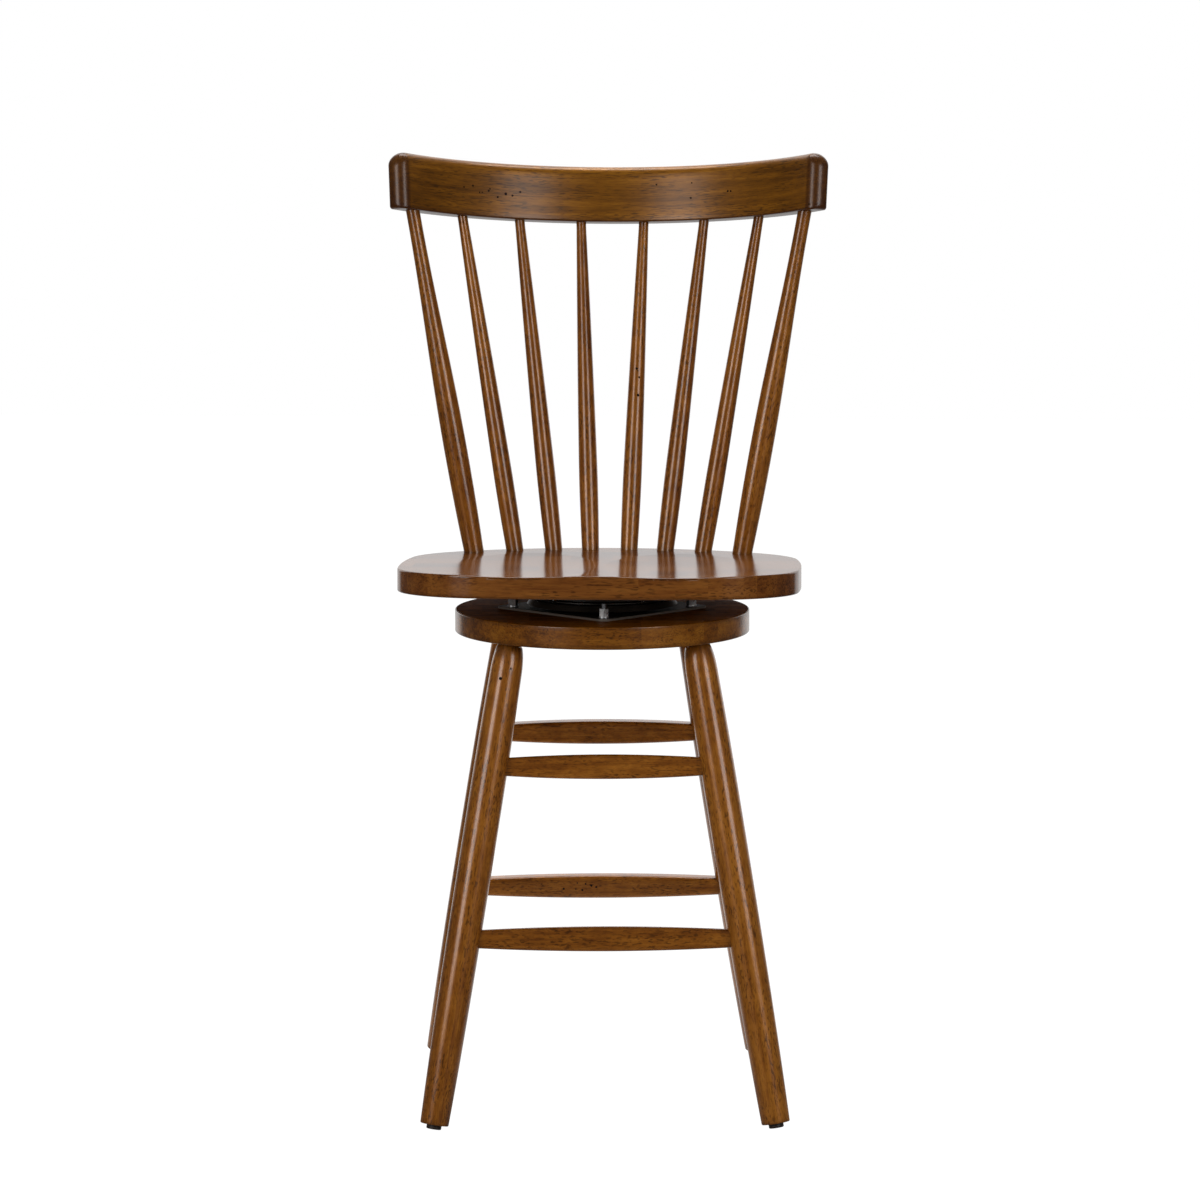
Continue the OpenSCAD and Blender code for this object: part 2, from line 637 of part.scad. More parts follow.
// The upper dish hangs inside the lower one, so that the rivet holds both
web_z = dish_web_z + face_gap;
web_top = web_z + dish_t;
module swivel_upper_dish() {
    hole_r = rivet_r + pivot_gap;
    wall_r = shoulder_out_r + dish_t;
    color(steel_black) intersection() {
        on_disc() difference() {
            rotate_extrude($fn = 192) polygon([[hole_r, web_z], [dish_in_r - 2, web_z],
                [shoulder_in_r - 2, flange_z], [wall_r, flange_z], [wall_r, 2 * swivel_h],
                [wall_r - dish_t, 2 * swivel_h], [wall_r - dish_t, flange_z + dish_t],
                [shoulder_in_r - 3, flange_z + dish_t], [dish_in_r - 3, web_top],
                [hole_r, web_top]]);
            ball_groove();
        }
        on_seat() translate([-far / 2, -far / 2, -seat_t - plate_t - far]) cube(far);
    }
}

module swivel_upper_plate() {
    color(steel_black) on_seat() translate([0, 0, -seat_t - plate_t])
        square_plate(screw_d + 2 * bolt_clearance);
}

module pivot_rivet() {
    head_z = web_top + 2 * washer_play + pivot_washer_t;
    color(zinc) on_disc() rotate_extrude() polygon([[0, -pivot_head_h],
        [pivot_tail_r, -pivot_head_h], [pivot_tail_r, 0], [rivet_r, 0], [rivet_r, head_z],
        [pivot_head_r, head_z], [pivot_head_r, head_z + pivot_head_h],
        [0, head_z + pivot_head_h]]);
}

module pivot_washer() {
    color(zinc) on_disc() translate([0, 0, web_top + washer_play]) difference() {
        cylinder(h = pivot_washer_t, r = pivot_head_r);
        translate([0, 0, -1]) cylinder(h = pivot_washer_t + 2, r = rivet_r + glue_gap);
    }
}

module on_each_ball() on_disc() for (k = [0:ball_count - 1])
    rotate([0, 0, 360 / ball_count * (k + ball_phase) - 90]) translate([ball_ring_r, 0, ball_h])
        children();

module ball_cage() {
    color(zinc) difference() {
        on_disc() translate([0, 0, ball_h - cage_t / 2]) difference() {
            cylinder(h = cage_t, r = ball_ring_r + cage_half_w, $fn = 192);
            translate([0, 0, -1])
                cylinder(h = cage_t + 2, r = ball_ring_r - cage_half_w, $fn = 192);
        }
        on_each_ball() translate([0, 0, -cage_t])
            cylinder(h = 2 * cage_t, r = ball_d / 2 + ball_play);
    }
}

module bearing_balls() {
    color(zinc) on_each_ball() sphere(d = ball_d, $fn = 32);
}

// Bolts at the lower plate's corners, with a washer and two nuts each

module at_bolt(q) on_disc() rotate([0, 0, 90 * q]) translate([bolt_circle, 0, 0]) children();

module swivel_bolts() {
    head_z = counterbore_h - disc_t - bolt_head_h;
    color(zinc) for (q = [0:3]) at_bolt(q) translate([0, 0, head_z])
        headed_pin(bolt_head_r, bolt_head_h, bolt_d / 2, plate_t + bolt_reach - head_z);
}

module bolt_washers() {
    color(zinc) for (q = [0:3]) at_bolt(q) translate([0, 0, plate_t]) difference() {
        cylinder(h = washer_t, r = washer_r);
        translate([0, 0, -1]) cylinder(h = washer_t + 2, d = bolt_d + 2 * glue_gap);
    }
}

module nut_row(z, h) {
    color(zinc) for (q = [0:3]) at_bolt(q) translate([0, 0, z]) difference() {
        cylinder(h = h, r = nut_af / sqrt(3), $fn = 6);
        translate([0, 0, -1]) cylinder(h = h + 2, d = bolt_d + 2 * glue_gap);
    }
}

module bolt_nuts() nut_row(plate_t + washer_t, nut_h);
module lock_nuts() nut_row(plate_t + washer_t + nut_h, lock_nut_h);

// The seat screws' places, at the upper plate's underside
module on_each_screw() for (x = [-1, 1], y = [-1, 1])
    translate([x * hole_pitch / 2, y * hole_pitch / 2, -seat_t - plate_t]) children();

module seat_screw(gap = 0) {
    tip = plate_t + screw_depth;
    rotate_extrude() polygon([[0, -screw_head_h], [screw_head_r, -screw_head_h],
        [screw_head_r, 0], [screw_d / 2 + gap, 0], [screw_d / 2 + gap, tip - screw_point],
        [screw_tip_r + gap, tip + gap], [0, tip + gap]]);
}

module seat_screws() {
    color(zinc) on_seat() on_each_screw() seat_screw();
}

base_disc();
leg(0);  // leg_front_left
leg(1);  // leg_front_right
leg(2);  // leg_rear_right
leg(3);  // leg_rear_left
stretcher(0, true);  // stretcher_front_upper
stretcher(0, false);  // stretcher_front_lower
stretcher(1, true);  // stretcher_right_upper
stretcher(1, false);  // stretcher_right_lower
stretcher(2, true);  // stretcher_rear_upper
stretcher(2, false);  // stretcher_rear_lower
stretcher(3, true);  // stretcher_left_upper
stretcher(3, false);  // stretcher_left_lower
foot_glides();
glide_nails();
swivel_lower_plate();
swivel_lower_dish();
pivot_rivet();
pivot_washer();
swivel_bolts();
bolt_washers();
bolt_nuts();
lock_nuts();
ball_cage();
bearing_balls();
swivel_upper_dish();
swivel_upper_plate();
seat_screws();
seat_board();
spindle(0);  // back_post_left
spindle(1);  // spindle_1
spindle(2);  // spindle_2
spindle(3);  // spindle_3
spindle(4);  // spindle_4
spindle(5);  // spindle_5
spindle(6);  // spindle_6
spindle(7);  // back_post_right
crest_rail();
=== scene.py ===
"""Looks of the swivel counter chair: wooden pieces in lacquered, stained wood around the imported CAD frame."""

import math
import random

import bpy
import numpy as np
from mathutils import Matrix, Vector


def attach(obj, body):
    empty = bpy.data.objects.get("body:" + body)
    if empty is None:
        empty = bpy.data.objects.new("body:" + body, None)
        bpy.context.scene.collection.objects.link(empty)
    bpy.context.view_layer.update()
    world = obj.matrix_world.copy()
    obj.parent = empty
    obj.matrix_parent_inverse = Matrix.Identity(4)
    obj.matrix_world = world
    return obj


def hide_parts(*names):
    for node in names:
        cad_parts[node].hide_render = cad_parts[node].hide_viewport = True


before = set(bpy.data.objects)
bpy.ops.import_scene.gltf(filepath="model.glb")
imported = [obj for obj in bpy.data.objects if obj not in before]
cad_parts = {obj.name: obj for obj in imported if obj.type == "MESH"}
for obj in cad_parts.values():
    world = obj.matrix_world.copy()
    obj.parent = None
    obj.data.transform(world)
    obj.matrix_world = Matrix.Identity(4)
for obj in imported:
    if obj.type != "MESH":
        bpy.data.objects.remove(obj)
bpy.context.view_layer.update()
MM = 0.001

# Sizes in millimetres, the same as in the part's source
SEAT_H, SEAT_W, SEAT_D, SEAT_T, SEAT_TILT = 630.9, 466, 426, 26.5, 2.3
SEAT_FRONT_R, SEAT_SIDE_R, SEAT_WIDEST = 1250, 900, 40
SEAT_BACK_R, SEAT_SHOULDER_R, SEAT_CORNER_R, SEAT_EDGE = 270, 140, 110, 1.6
HOLLOW_DEPTH, HOLLOW_X, HOLLOW_HALF_W, HOLLOW_Y, HOLLOW_HALF_L = 3.2, 88, 84, -80, 205
SEAT_X = [23.4, 67.4, 113.5, 161]  # the spindles' places in the seat, from the middle
SPINDLE_BACK_Y, SPINDLE_CURVE_R, CREST_PITCH = 188, 290, 76.2
CREST_Y, CREST_Z, CREST_H, CREST_T = 256, 1014.2, 68, 24
CREST_LENGTH, CREST_SLANT, CREST_BEND_R, CREST_RECLINE = 605, 5, 302, 9.8
END_FRONT_R, END_BACK_R, CORNER_TOP_R, CORNER_LOW_R, ROUND_TOP, ROUND_LOW = 14.5, 6, 18, 6, 10.5, 2.5
BASE_TURN, DISC_D, DISC_T, DISC_ROUND = 3.8, 344.5, 26, 1.5
FOOT_SPREAD, TOP_SPREAD = 196.5, 107
LEG_FOOT_R, LEG_BELLY_R, LEG_BELLY_S, LEG_SHOULDER_R, LEG_SHOULDER_H = 16.3, 19.7, 380, 18.45, 38
LEG_TENON_R, LEG_FOOT_S, LEG_EDGE = 11, 6.8, 1
STRETCHER_UPPER_Z, STRETCHER_LOWER_Z, SIDE_RISE = 409.5, 215, 40
STRETCHER_MID_H, STRETCHER_END_H, STRETCHER_T = 28.4, 20, 17
STRETCHER_CORNER = 4.5
STRETCHER_SHORT = 9.7  # from a leg's axis to the end of a stretcher
SWIVEL_H = 28
SKIN = 0.28  # the rail is drawn this much inside its construction
HOLLOW_SOFT = 0.35  # easing of the seat's hollows at their edges

# Radii of foot, belly and tip, and the belly's height above the seat
POST_SHAPE = (12, 13.8, 8.2, 122)
SPINDLE_SHAPE = (10.5, 11.4, 6, 86)
SPINDLE_TAPER = 1.3  # the higher, the longer the belly
FOOT_ENTRY, CREST_ENTRY = 6, 8  # straight lengths at the seat and at the rail

AXIS_Y = (FOOT_SPREAD * (math.cos(math.radians(BASE_TURN)) + math.sin(math.radians(BASE_TURN))) + LEG_FOOT_R
          - CREST_Y - (CREST_T / 2 - ROUND_TOP) * math.cos(math.radians(CREST_RECLINE))
          - (CREST_H - ROUND_TOP) * math.sin(math.radians(CREST_RECLINE)) - ROUND_TOP) / 2
DISC_TOP = SEAT_H - SEAT_T / math.cos(math.radians(SEAT_TILT)) - SWIVEL_H
DISC_LOW = DISC_TOP - DISC_T
LEG_SLOPE = (FOOT_SPREAD - TOP_SPREAD) / DISC_LOW
LEG_LEAN = math.atan(LEG_SLOPE * math.sqrt(2))
LEG_TOP_S = DISC_LOW / math.cos(LEG_LEAN)

# Worm holes of the distressed finish, as place along, height or angle, and radius.
# PIT_GROWTH says how much larger they are drawn.
PIT_LIFT, PIT_SIDES, PIT_GROWTH = 0.05, 8, (1.3, 2.1)
CREST_PITS = [(-196.5, 34, 0.6), (-183.5, 36.7, 0.8), (-173.5, 29.4, 0.6), (-169.8, 29.5, 0.6),
              (-160.9, 32.1, 0.8), (-159, 34.7, 0.7), (-148, 25.1, 0.8), (-137.2, 29.6, 1.0),
              (-128.3, 28.2, 1.0), (-117.8, 33.1, 1.0), (56.3, 44.5, 0.7), (102.7, 45.3, 0.7),
              (101.5, 27.2, 0.8), (153, 32.8, 0.8), (157, 32.4, 0.7), (291.2, 6, 0.7)]
SPINDLE_PITS = [(218.8, 191, 0.9), (216.4, 201, 0.6), (208.4, 211, 0.8), (186.7, 209, 1.0)]
LEG_PITS = [(521.8, 30, 1.1), (534.8, 60, 0.6)]
STRETCHER_PITS = [(44.1, -0.9, 0.8), (27.7, 6.5, 0.6), (17.5, 5.2, 0.7), (10.5, 3, 1.0), (4.5, 1.1, 0.8),
                  (21.6, -2.7, 0.8), (29.5, -1.4, 0.5)]

# How much lighter or darker than the others a piece of wood is; the front right leg's extra lightness is partly
# painted light
PIECE_TONES = {"leg_front_right": 0.06, "leg_front_left": 0.02, "stretcher_front_lower": -0.02,
               "stretcher_rear_lower": 0.02, "spindle_4": 0.02}

draw = random.Random(7)


def place(x, y, z):
    return Matrix.Translation(Vector((x, y, z)) * MM)


def turn(degrees, axis):
    return Matrix.Rotation(math.radians(degrees), 4, axis)


ON_AXIS = place(0, AXIS_Y, 0)
ON_BASE = ON_AXIS @ turn(BASE_TURN, "Z")
ON_SEAT = ON_AXIS @ place(0, 0, SEAT_H) @ turn(-SEAT_TILT, "X")


# Meshes

def pit_points(pits, first):
    """Worm holes: small dark flat spots just over the surface; their darkness is dirt and painted shade in the
    holes. A pit is (place, direction outwards, radius).
    first is the number of the first new point."""
    points, faces = [], []
    for place_at, outwards, r in pits:
        outwards = Vector(outwards).normalized()
        across = outwards.orthogonal().normalized()
        other = outwards.cross(across)
        centre = Vector(place_at) + outwards * PIT_LIFT
        start = first + len(points)
        points.append(tuple(centre))
        for k in range(PIT_SIDES):
            a = 2 * math.pi * k / PIT_SIDES
            direction = across * math.cos(a) + other * math.sin(a)
            points.append(tuple(centre + direction * r * draw.uniform(*PIT_GROWTH)))
        faces += [(start, start + 1 + k, start + 1 + (k + 1) % PIT_SIDES) for k in range(PIT_SIDES)]
    return points, faces


def strip_mesh(name, rings, grain, edge, matte=None, board=False, pits=()):
    """A closed mesh of point rings, with the place in the grain and the depth of the dark edge colour at each
    point, which is partly stain and partly painted shade.
    matte says for each band between two rings whether it takes the piece's second material.
    A board keeps its own coordinates as grain, other pieces get a cut of wood of their own.
    The pits take the second material."""
    rings = np.asarray(rings, float)
    n, m = rings.shape[:2]
    points = rings.reshape(-1, 3)
    grain, edge = np.asarray(grain, float).reshape(-1, 3), np.asarray(edge, float).reshape(-1)
    i, j = np.meshgrid(np.arange(n - 1), np.arange(m), indexing="ij")
    a, b = i * m + j, i * m + (j + 1) % m
    faces = np.stack([a, b, b + m, a + m], -1).reshape(-1, 4).tolist()
    faces.append(list(range(m - 1, -1, -1)))
    faces.append([(n - 1) * m + k for k in range(m)])
    if pits:
        spots, spot_faces = pit_points(pits, len(points))
        points, faces = np.concatenate([points, spots]), faces + spot_faces
        grain, edge = np.concatenate([grain, spots]), np.concatenate([edge, np.zeros(len(spots))])
    mesh = bpy.data.meshes.new(name)
    mesh.from_pydata((points * MM).tolist(), [], faces)
    mesh.polygons.foreach_set("use_smooth", [True] * len(mesh.polygons))
    if matte:
        index = np.repeat(np.array(matte, int), m).tolist() + [int(matte[0]), int(matte[-1])]
        mesh.polygons.foreach_set("material_index", index)
    if pits:
        plain = len(faces) - len(spot_faces)
        mesh.polygons.foreach_set("material_index", [0] * plain + [1] * len(spot_faces))
    shift = np.zeros(3) if board else np.array([draw.uniform(0, 9) for _ in range(3)])
    layer = mesh.attributes.new("grain", "FLOAT_VECTOR", "POINT")
    layer.data.foreach_set("vector", (grain * MM + shift).astype(np.float32).ravel())
    layer = mesh.attributes.new("edge", "FLOAT", "POINT")
    layer.data.foreach_set("value", edge.astype(np.float32))
    layer = mesh.attributes.new("tone", "FLOAT", "POINT")
    layer.data.foreach_set("value", np.full(len(points), PIECE_TONES.get(name, 0), np.float32))
    mesh.validate()
    mesh.update()
    return mesh


def add_piece(name, mesh, matrix, materials, body, node):
    """A visible piece in place of a node of the frame."""
    mesh.transform(matrix)
    mesh.update()
    obj = bpy.data.objects.new(name, mesh)
    bpy.context.scene.collection.objects.link(obj)
    for material in materials:
        obj.data.materials.append(material)
    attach(obj, body)
    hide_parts(node)


def turned_mesh(name, profile, segments, dark, holes=()):
    """A turned piece along +Z. profile is a list of (radius, height).
    dark gives the depth of the dark edge colour at a height, partly stain and partly painted shade. holes are
    worm holes as (height, angle, radius)."""
    profile = np.asarray(profile, float)
    a = np.linspace(0, 2 * math.pi, segments, endpoint=False)
    r, z = profile[:, 0:1], np.repeat(profile[:, 1:2], segments, 1)
    rings = np.stack([r * np.cos(a), r * np.sin(a), z], -1)
    grain = rings[..., [2, 0, 1]]
    edge = np.repeat([[dark(s)] for s in profile[:, 1]], segments, 1)
    pits = []
    for s, angle, size in holes:
        reach = np.interp(s, profile[:, 1], profile[:, 0])
        x, y = math.cos(math.radians(angle)), math.sin(math.radians(angle))
        pits.append(((reach * x, reach * y, s), (x, y, 0), size))
    return strip_mesh(name, rings, grain, edge, pits=pits)


# Nodes of the materials

class Shader:
    """A material with one principled shader. Its methods add a node each and give the node's output."""

    def __init__(self, name):
        self.material = bpy.data.materials.new(name)
        self.material.use_nodes = True
        self.nodes, self.links = self.material.node_tree.nodes, self.material.node_tree.links
        self.nodes.clear()
        self.bsdf = self.nodes.new("ShaderNodeBsdfPrincipled")
        out = self.nodes.new("ShaderNodeOutputMaterial")
        self.links.new(self.bsdf.outputs[0], out.inputs["Surface"])

    def put(self, socket, value):
        """Link an output to a socket, or set the socket to a plain value."""
        if isinstance(value, bpy.types.NodeSocket):
            self.links.new(value, socket)
        else:
            socket.default_value = value

    def attribute(self, name):
        node = self.nodes.new("ShaderNodeAttribute")
        node.attribute_name = name
        return node

    def scaled(self, vector, factors):
        node = self.nodes.new("ShaderNodeVectorMath")
        node.operation = "MULTIPLY"
        self.put(node.inputs[0], vector)
        node.inputs[1].default_value = factors
        return node.outputs[0]

    def noise(self, vector, detail=2, roughness=0.5, distortion=0, scale=1):
        node = self.nodes.new("ShaderNodeTexNoise")
        self.put(node.inputs["Vector"], vector)
        node.inputs["Scale"].default_value = scale
        node.inputs["Detail"].default_value = detail
        node.inputs["Roughness"].default_value = roughness
        node.inputs["Distortion"].default_value = distortion
        return node.outputs["Fac"]

    def maths(self, operation, a, b=0.0, clamp=False):
        node = self.nodes.new("ShaderNodeMath")
        node.operation, node.use_clamp = operation, clamp
        self.put(node.inputs[0], a)
        self.put(node.inputs[1], b)
        return node.outputs[0]

    def span(self, value, low, high, to_low=0.0, to_high=1.0):
        """A soft step of a value between low and high."""
        node = self.nodes.new("ShaderNodeMapRange")
        node.interpolation_type = "SMOOTHSTEP"
        self.put(node.inputs["Value"], value)
        for key, v in (("From Min", low), ("From Max", high), ("To Min", to_low), ("To Max", to_high)):
            node.inputs[key].default_value = v
        return node.outputs[0]

    def ramp(self, value, stops, constant=False):
        node = self.nodes.new("ShaderNodeValToRGB")
        ramp = node.color_ramp
        ramp.interpolation = "CONSTANT" if constant else "LINEAR"
        while len(ramp.elements) < len(stops):
            ramp.elements.new(0.5)
        for element, (place_at, colour) in zip(ramp.elements, stops):
            element.position = place_at
            element.color = (*colour, 1) if len(colour) == 3 else colour
        self.put(node.inputs[0], value)
        return node.outputs["Color"]

    def mix(self, factor, a, b):
        node = self.nodes.new("ShaderNodeMix")
        node.data_type = "RGBA"
        self.put(node.inputs[0], factor)
        self.put(node.inputs[6], a)
        self.put(node.inputs[7], b)
        return node.outputs[2]

    def bump(self, height, distance, strength):
        node = self.nodes.new("ShaderNodeBump")
        node.inputs["Strength"].default_value = strength
        node.inputs["Distance"].default_value = distance
        self.put(node.inputs["Height"], height)
        self.links.new(node.outputs[0], self.bsdf.inputs["Normal"])

    def parts(self, vector):
        """The vector's X, Y and Z."""
        node = self.nodes.new("ShaderNodeSeparateXYZ")
        self.put(node.inputs[0], vector)
        return node.outputs


# Materials. The shaders count in metres, so the noise scales are features per metre.

STAVE = 0.06  # width of a stave
STAVE_SHIFT = 0.37  # from each stave's joints to the next one's, as a share of the length
BLOCK_KEY, STAVE_KEY = 31.7, 5.3  # they give each block a number of its own
BLOCK_CONTRAST = 0.2  # between the darkest and the lightest block
BLOCK_MOVE = (9, 9, 9)  # largest shift of a block's grain


def blocks(s, grain, front, joints, length, seed=0.0):
    """The boards are glued of staves, and each stave of blocks. front is the front edge's place, joints are
    the places of the front stave's joints as shares of the length. Gives each block's tone and grain."""
    place_in = s.parts(grain)
    stave = s.maths("FLOOR", s.maths("DIVIDE", s.maths("SUBTRACT", place_in["Y"], front), STAVE))
    along = s.maths("ADD", s.maths("DIVIDE", place_in["X"], length), 0.5)
    along = s.maths("FRACT", s.maths("ADD", along, s.maths("MULTIPLY", stave, STAVE_SHIFT)))
    starts = (0.0, *joints)
    grey = [(at, (k / 10,) * 3) for k, at in enumerate(starts)]
    number = s.ramp(along, grey, constant=True)
    ident = s.maths("ADD", s.maths("MULTIPLY", number, BLOCK_KEY), s.maths("MULTIPLY", stave, STAVE_KEY))
    ident = s.maths("ADD", ident, seed)
    white = s.nodes.new("ShaderNodeTexWhiteNoise")
    white.noise_dimensions = "1D"
    s.put(white.inputs["W"], ident)
    tone = s.maths("MULTIPLY", s.maths("SUBTRACT", white.outputs["Value"], 0.5), BLOCK_CONTRAST)
    move = s.nodes.new("ShaderNodeVectorMath")
    move.operation = "MULTIPLY_ADD"
    s.put(move.inputs[0], white.outputs["Color"])
    move.inputs[1].default_value = BLOCK_MOVE
    s.put(move.inputs[2], grain)
    return tone, move.outputs[0]


def crest_tone(s, grain):
    """The rail's colour gets darker towards its ends."""
    out = s.maths("ABSOLUTE", s.parts(grain)["X"])
    return s.span(out, low=0.06, high=0.27, to_low=0.03, to_high=-0.05), grain


# Scales of the grain's noises, along it and twice across it
BAND_SCALE, LINE_SCALE, FIBRE_SCALE, PATCH_SCALE = (2.2, 34, 34), (7, 190, 190), (30, 900, 900), (14, 60, 60)
LINE_SHARE, FIBRE_SHARE, BAND_AND_STAIN_SHARE = 0.30, 0.15, 0.55
EDGE_STAIN_AND_SHADE = 0.8  # how far the deepest stain and painted shade cover the colour
PORE_DARK = 0.15  # a pore's colour, as a share of the dark grain's
LACQUER_IOR = 1.5
PORE_BUMP = 0.00006  # depth of a pore


def wood(name, dark, mid, light, rim, coat=1.0, gloss=0.22, sheen=0.18, tones=None,
         pore_depth=0.8, pore_scale=(130, 800, 800), pore_level=0.54,
         stain_scale=(11, 20, 20), stain_share=0.15, contrast=1.0):
    """Stained, lacquered wood. The grain runs along the first axis of the attribute that holds it.
    tones, where given, gives the tone and the grain at each place. Else the piece has one tone of its own."""
    s = Shader(name)
    grain = s.attribute("grain").outputs["Vector"]
    edge = s.attribute("edge").outputs["Fac"]
    if tones:
        tone, grain = tones(s, grain)
    else:
        tone = s.attribute("tone").outputs["Fac"]
    bands = s.noise(s.scaled(grain, BAND_SCALE), 3, 0.55, 0.3)
    lines = s.noise(s.scaled(grain, LINE_SCALE), 3, 0.6, 0.5)
    fibres = s.noise(s.scaled(grain, FIBRE_SCALE), 2, 0.6)
    stain = s.noise(s.scaled(grain, stain_scale), 4, 0.6)
    value = s.maths("ADD", s.maths("MULTIPLY", bands, BAND_AND_STAIN_SHARE - stain_share),
                    s.maths("MULTIPLY", lines, LINE_SHARE))
    value = s.maths("ADD", value, s.maths("MULTIPLY", stain, stain_share))
    value = s.maths("ADD", value, s.maths("MULTIPLY", fibres, FIBRE_SHARE))
    value = s.maths("ADD", s.maths("MULTIPLY", s.maths("SUBTRACT", value, 0.5), contrast), 0.5)
    value = s.maths("ADD", value, tone)
    colour = s.ramp(value, [(0.38, dark), (0.50, mid), (0.62, light)])
    pores = s.span(s.noise(s.scaled(grain, pore_scale), 1, 0.4), pore_level, pore_level + 0.1)
    patches = s.span(s.noise(s.scaled(grain, PATCH_SCALE), 1, 0.5), 0.36, 0.60, 0.35, 1.0)
    pore = s.maths("MULTIPLY", pores, patches)
    colour = s.mix(s.maths("MULTIPLY", pore, pore_depth), colour, (*[c * PORE_DARK for c in dark], 1))
    # The rim colour covers the wood as far as the edge attribute says: partly stain, partly painted shade under
    # edges and at joints.
    colour = s.mix(s.maths("MULTIPLY", edge, EDGE_STAIN_AND_SHADE, True), colour, (*rim, 1))
    s.put(s.bsdf.inputs["Base Color"], colour)
    s.put(s.bsdf.inputs["Roughness"], s.span(value, 0.35, 0.65, 0.46, 0.38))
    s.bsdf.inputs["Metallic"].default_value = sheen
    s.bsdf.inputs["Specular IOR Level"].default_value = 0.0
    s.bsdf.inputs["Coat Weight"].default_value = coat
    s.bsdf.inputs["Coat Roughness"].default_value = gloss
    s.bsdf.inputs["Coat IOR"].default_value = LACQUER_IOR
    height = s.maths("SUBTRACT", s.maths("MULTIPLY", fibres, 0.4), pore)
    s.bump(height, PORE_BUMP, strength=0.55)
    return s.material


TURNED_WOOD = wood("turned_wood", (0.158, 0.044, 0.004), (0.30, 0.098, 0.009), (0.44, 0.16, 0.018),
                   (0.03, 0.009, 0.002), pore_depth=0.6, pore_scale=(170, 620, 620),
                   stain_scale=(45, 110, 110), stain_share=0.3, contrast=1.1)
CREST_WOOD = wood("crest_rail_wood", (0.125, 0.043, 0.0014), (0.26, 0.095, 0.004), (0.42, 0.164, 0.011),
                  (0.038, 0.0075, 0.003), coat=0.8, gloss=0.30, tones=crest_tone, pore_depth=0.6,
                  pore_scale=(85, 760, 760), pore_level=0.53, stain_scale=(30, 160, 160), stain_share=0.2)
BOARD_TONES = ((0.115, 0.034, 0.0026), (0.23, 0.075, 0.006), (0.34, 0.126, 0.012), (0.03, 0.009, 0.002))
SEAT_TONES = ((0.085, 0.024, 0.005), (0.175, 0.054, 0.0095), (0.265, 0.094, 0.017), (0.03, 0.009, 0.002))
SEAT_JOINTS, DISC_JOINTS = (0.09, 0.606, 0.775, 0.893), (0.146, 0.335, 0.62, 0.83)


def seat_blocks(s, grain):
    return blocks(s, grain, -SEAT_D / 2 * MM, SEAT_JOINTS, SEAT_W * MM)


def disc_blocks(s, grain):
    return blocks(s, grain, -DISC_D / 2 * MM, DISC_JOINTS, DISC_D * MM, seed=1.7)


DISC_WOOD = wood("base_disc_wood", *BOARD_TONES, tones=disc_blocks, pore_depth=0.6,
                 pore_scale=(220, 800, 800), contrast=1.2)
DISC_UNDER = wood("base_disc_matte", *BOARD_TONES, coat=0.05, gloss=0.5, tones=disc_blocks)
SEAT_WOOD = wood("seat_board_wood", *SEAT_TONES, coat=0.78, gloss=0.15, sheen=0.04, tones=seat_blocks,
                 pore_depth=0.6, pore_scale=(80, 600, 600), contrast=0.9)
SEAT_UNDER = wood("seat_board_matte", *BOARD_TONES, coat=0.05, gloss=0.5, tones=seat_blocks)


def pit_dirt_and_shade(name):
    """The dark inside of a worm hole: dirt and painted shade."""
    s = Shader(name)
    cloud = s.noise(s.attribute("grain").outputs["Vector"], scale=900)
    colour = s.ramp(cloud, [(0.3, (0.006, 0.003, 0.002)), (0.7, (0.022, 0.010, 0.005))])
    s.put(s.bsdf.inputs["Base Color"], colour)
    s.bsdf.inputs["Roughness"].default_value = 0.8
    s.bsdf.inputs["Specular IOR Level"].default_value = 0.1
    return s.material


PIT = pit_dirt_and_shade("worm_holes")
BARE_EDGE_AND_GLINT = (0.16, 0.13, 0.105, 1)


def steel_paint(name, cut_edge=False):
    """Black paint. A plate's cut edge is bare and catches the light; its lighter colour on upright faces is
    partly a painted highlight.
    """
    s = Shader(name)
    where = s.nodes.new("ShaderNodeTexCoord").outputs["Object"]
    cloud = s.noise(where, scale=22)
    colour = s.ramp(cloud, [(0.35, (0.014, 0.0105, 0.007)), (0.65, (0.028, 0.021, 0.015))])
    if cut_edge:
        normal = s.parts(s.nodes.new("ShaderNodeNewGeometry").outputs["True Normal"])
        upright = s.span(s.maths("ABSOLUTE", normal["Z"]), 0.3, 0.6, 1.0, 0.0)
        colour = s.mix(upright, colour, BARE_EDGE_AND_GLINT)
    s.put(s.bsdf.inputs["Base Color"], colour)
    s.put(s.bsdf.inputs["Roughness"], s.span(cloud, 0.3, 0.7, 0.42, 0.50))
    s.bsdf.inputs["Specular IOR Level"].default_value = 0.35
    return s.material


def plated(name, low, high, rough_low, rough_high):
    """Bare or plated metal, cloudy between two colours and two roughnesses."""
    s = Shader(name)
    where = s.nodes.new("ShaderNodeTexCoord").outputs["Object"]
    cloud = s.noise(where, detail=3, roughness=0.6, distortion=0.4, scale=90)
    s.put(s.bsdf.inputs["Base Color"], s.ramp(cloud, [(0.3, low), (0.7, high)]))
    s.bsdf.inputs["Metallic"].default_value = 1.0
    s.put(s.bsdf.inputs["Roughness"], s.span(cloud, 0.3, 0.7, rough_low, rough_high))
    return s.material


def moulded(name):
    """Brown plastic with a fine texture."""
    s = Shader(name)
    where = s.nodes.new("ShaderNodeTexCoord").outputs["Object"]
    cloud = s.noise(where, scale=60)
    colour = s.ramp(cloud, [(0.3, (0.016, 0.008, 0.005)), (0.7, (0.034, 0.019, 0.012))])
    s.put(s.bsdf.inputs["Base Color"], colour)
    s.put(s.bsdf.inputs["Roughness"], s.span(cloud, 0.3, 0.7, 0.42, 0.56))
    s.bump(s.noise(where, scale=1500), distance=0.00005, strength=0.5)
    return s.material


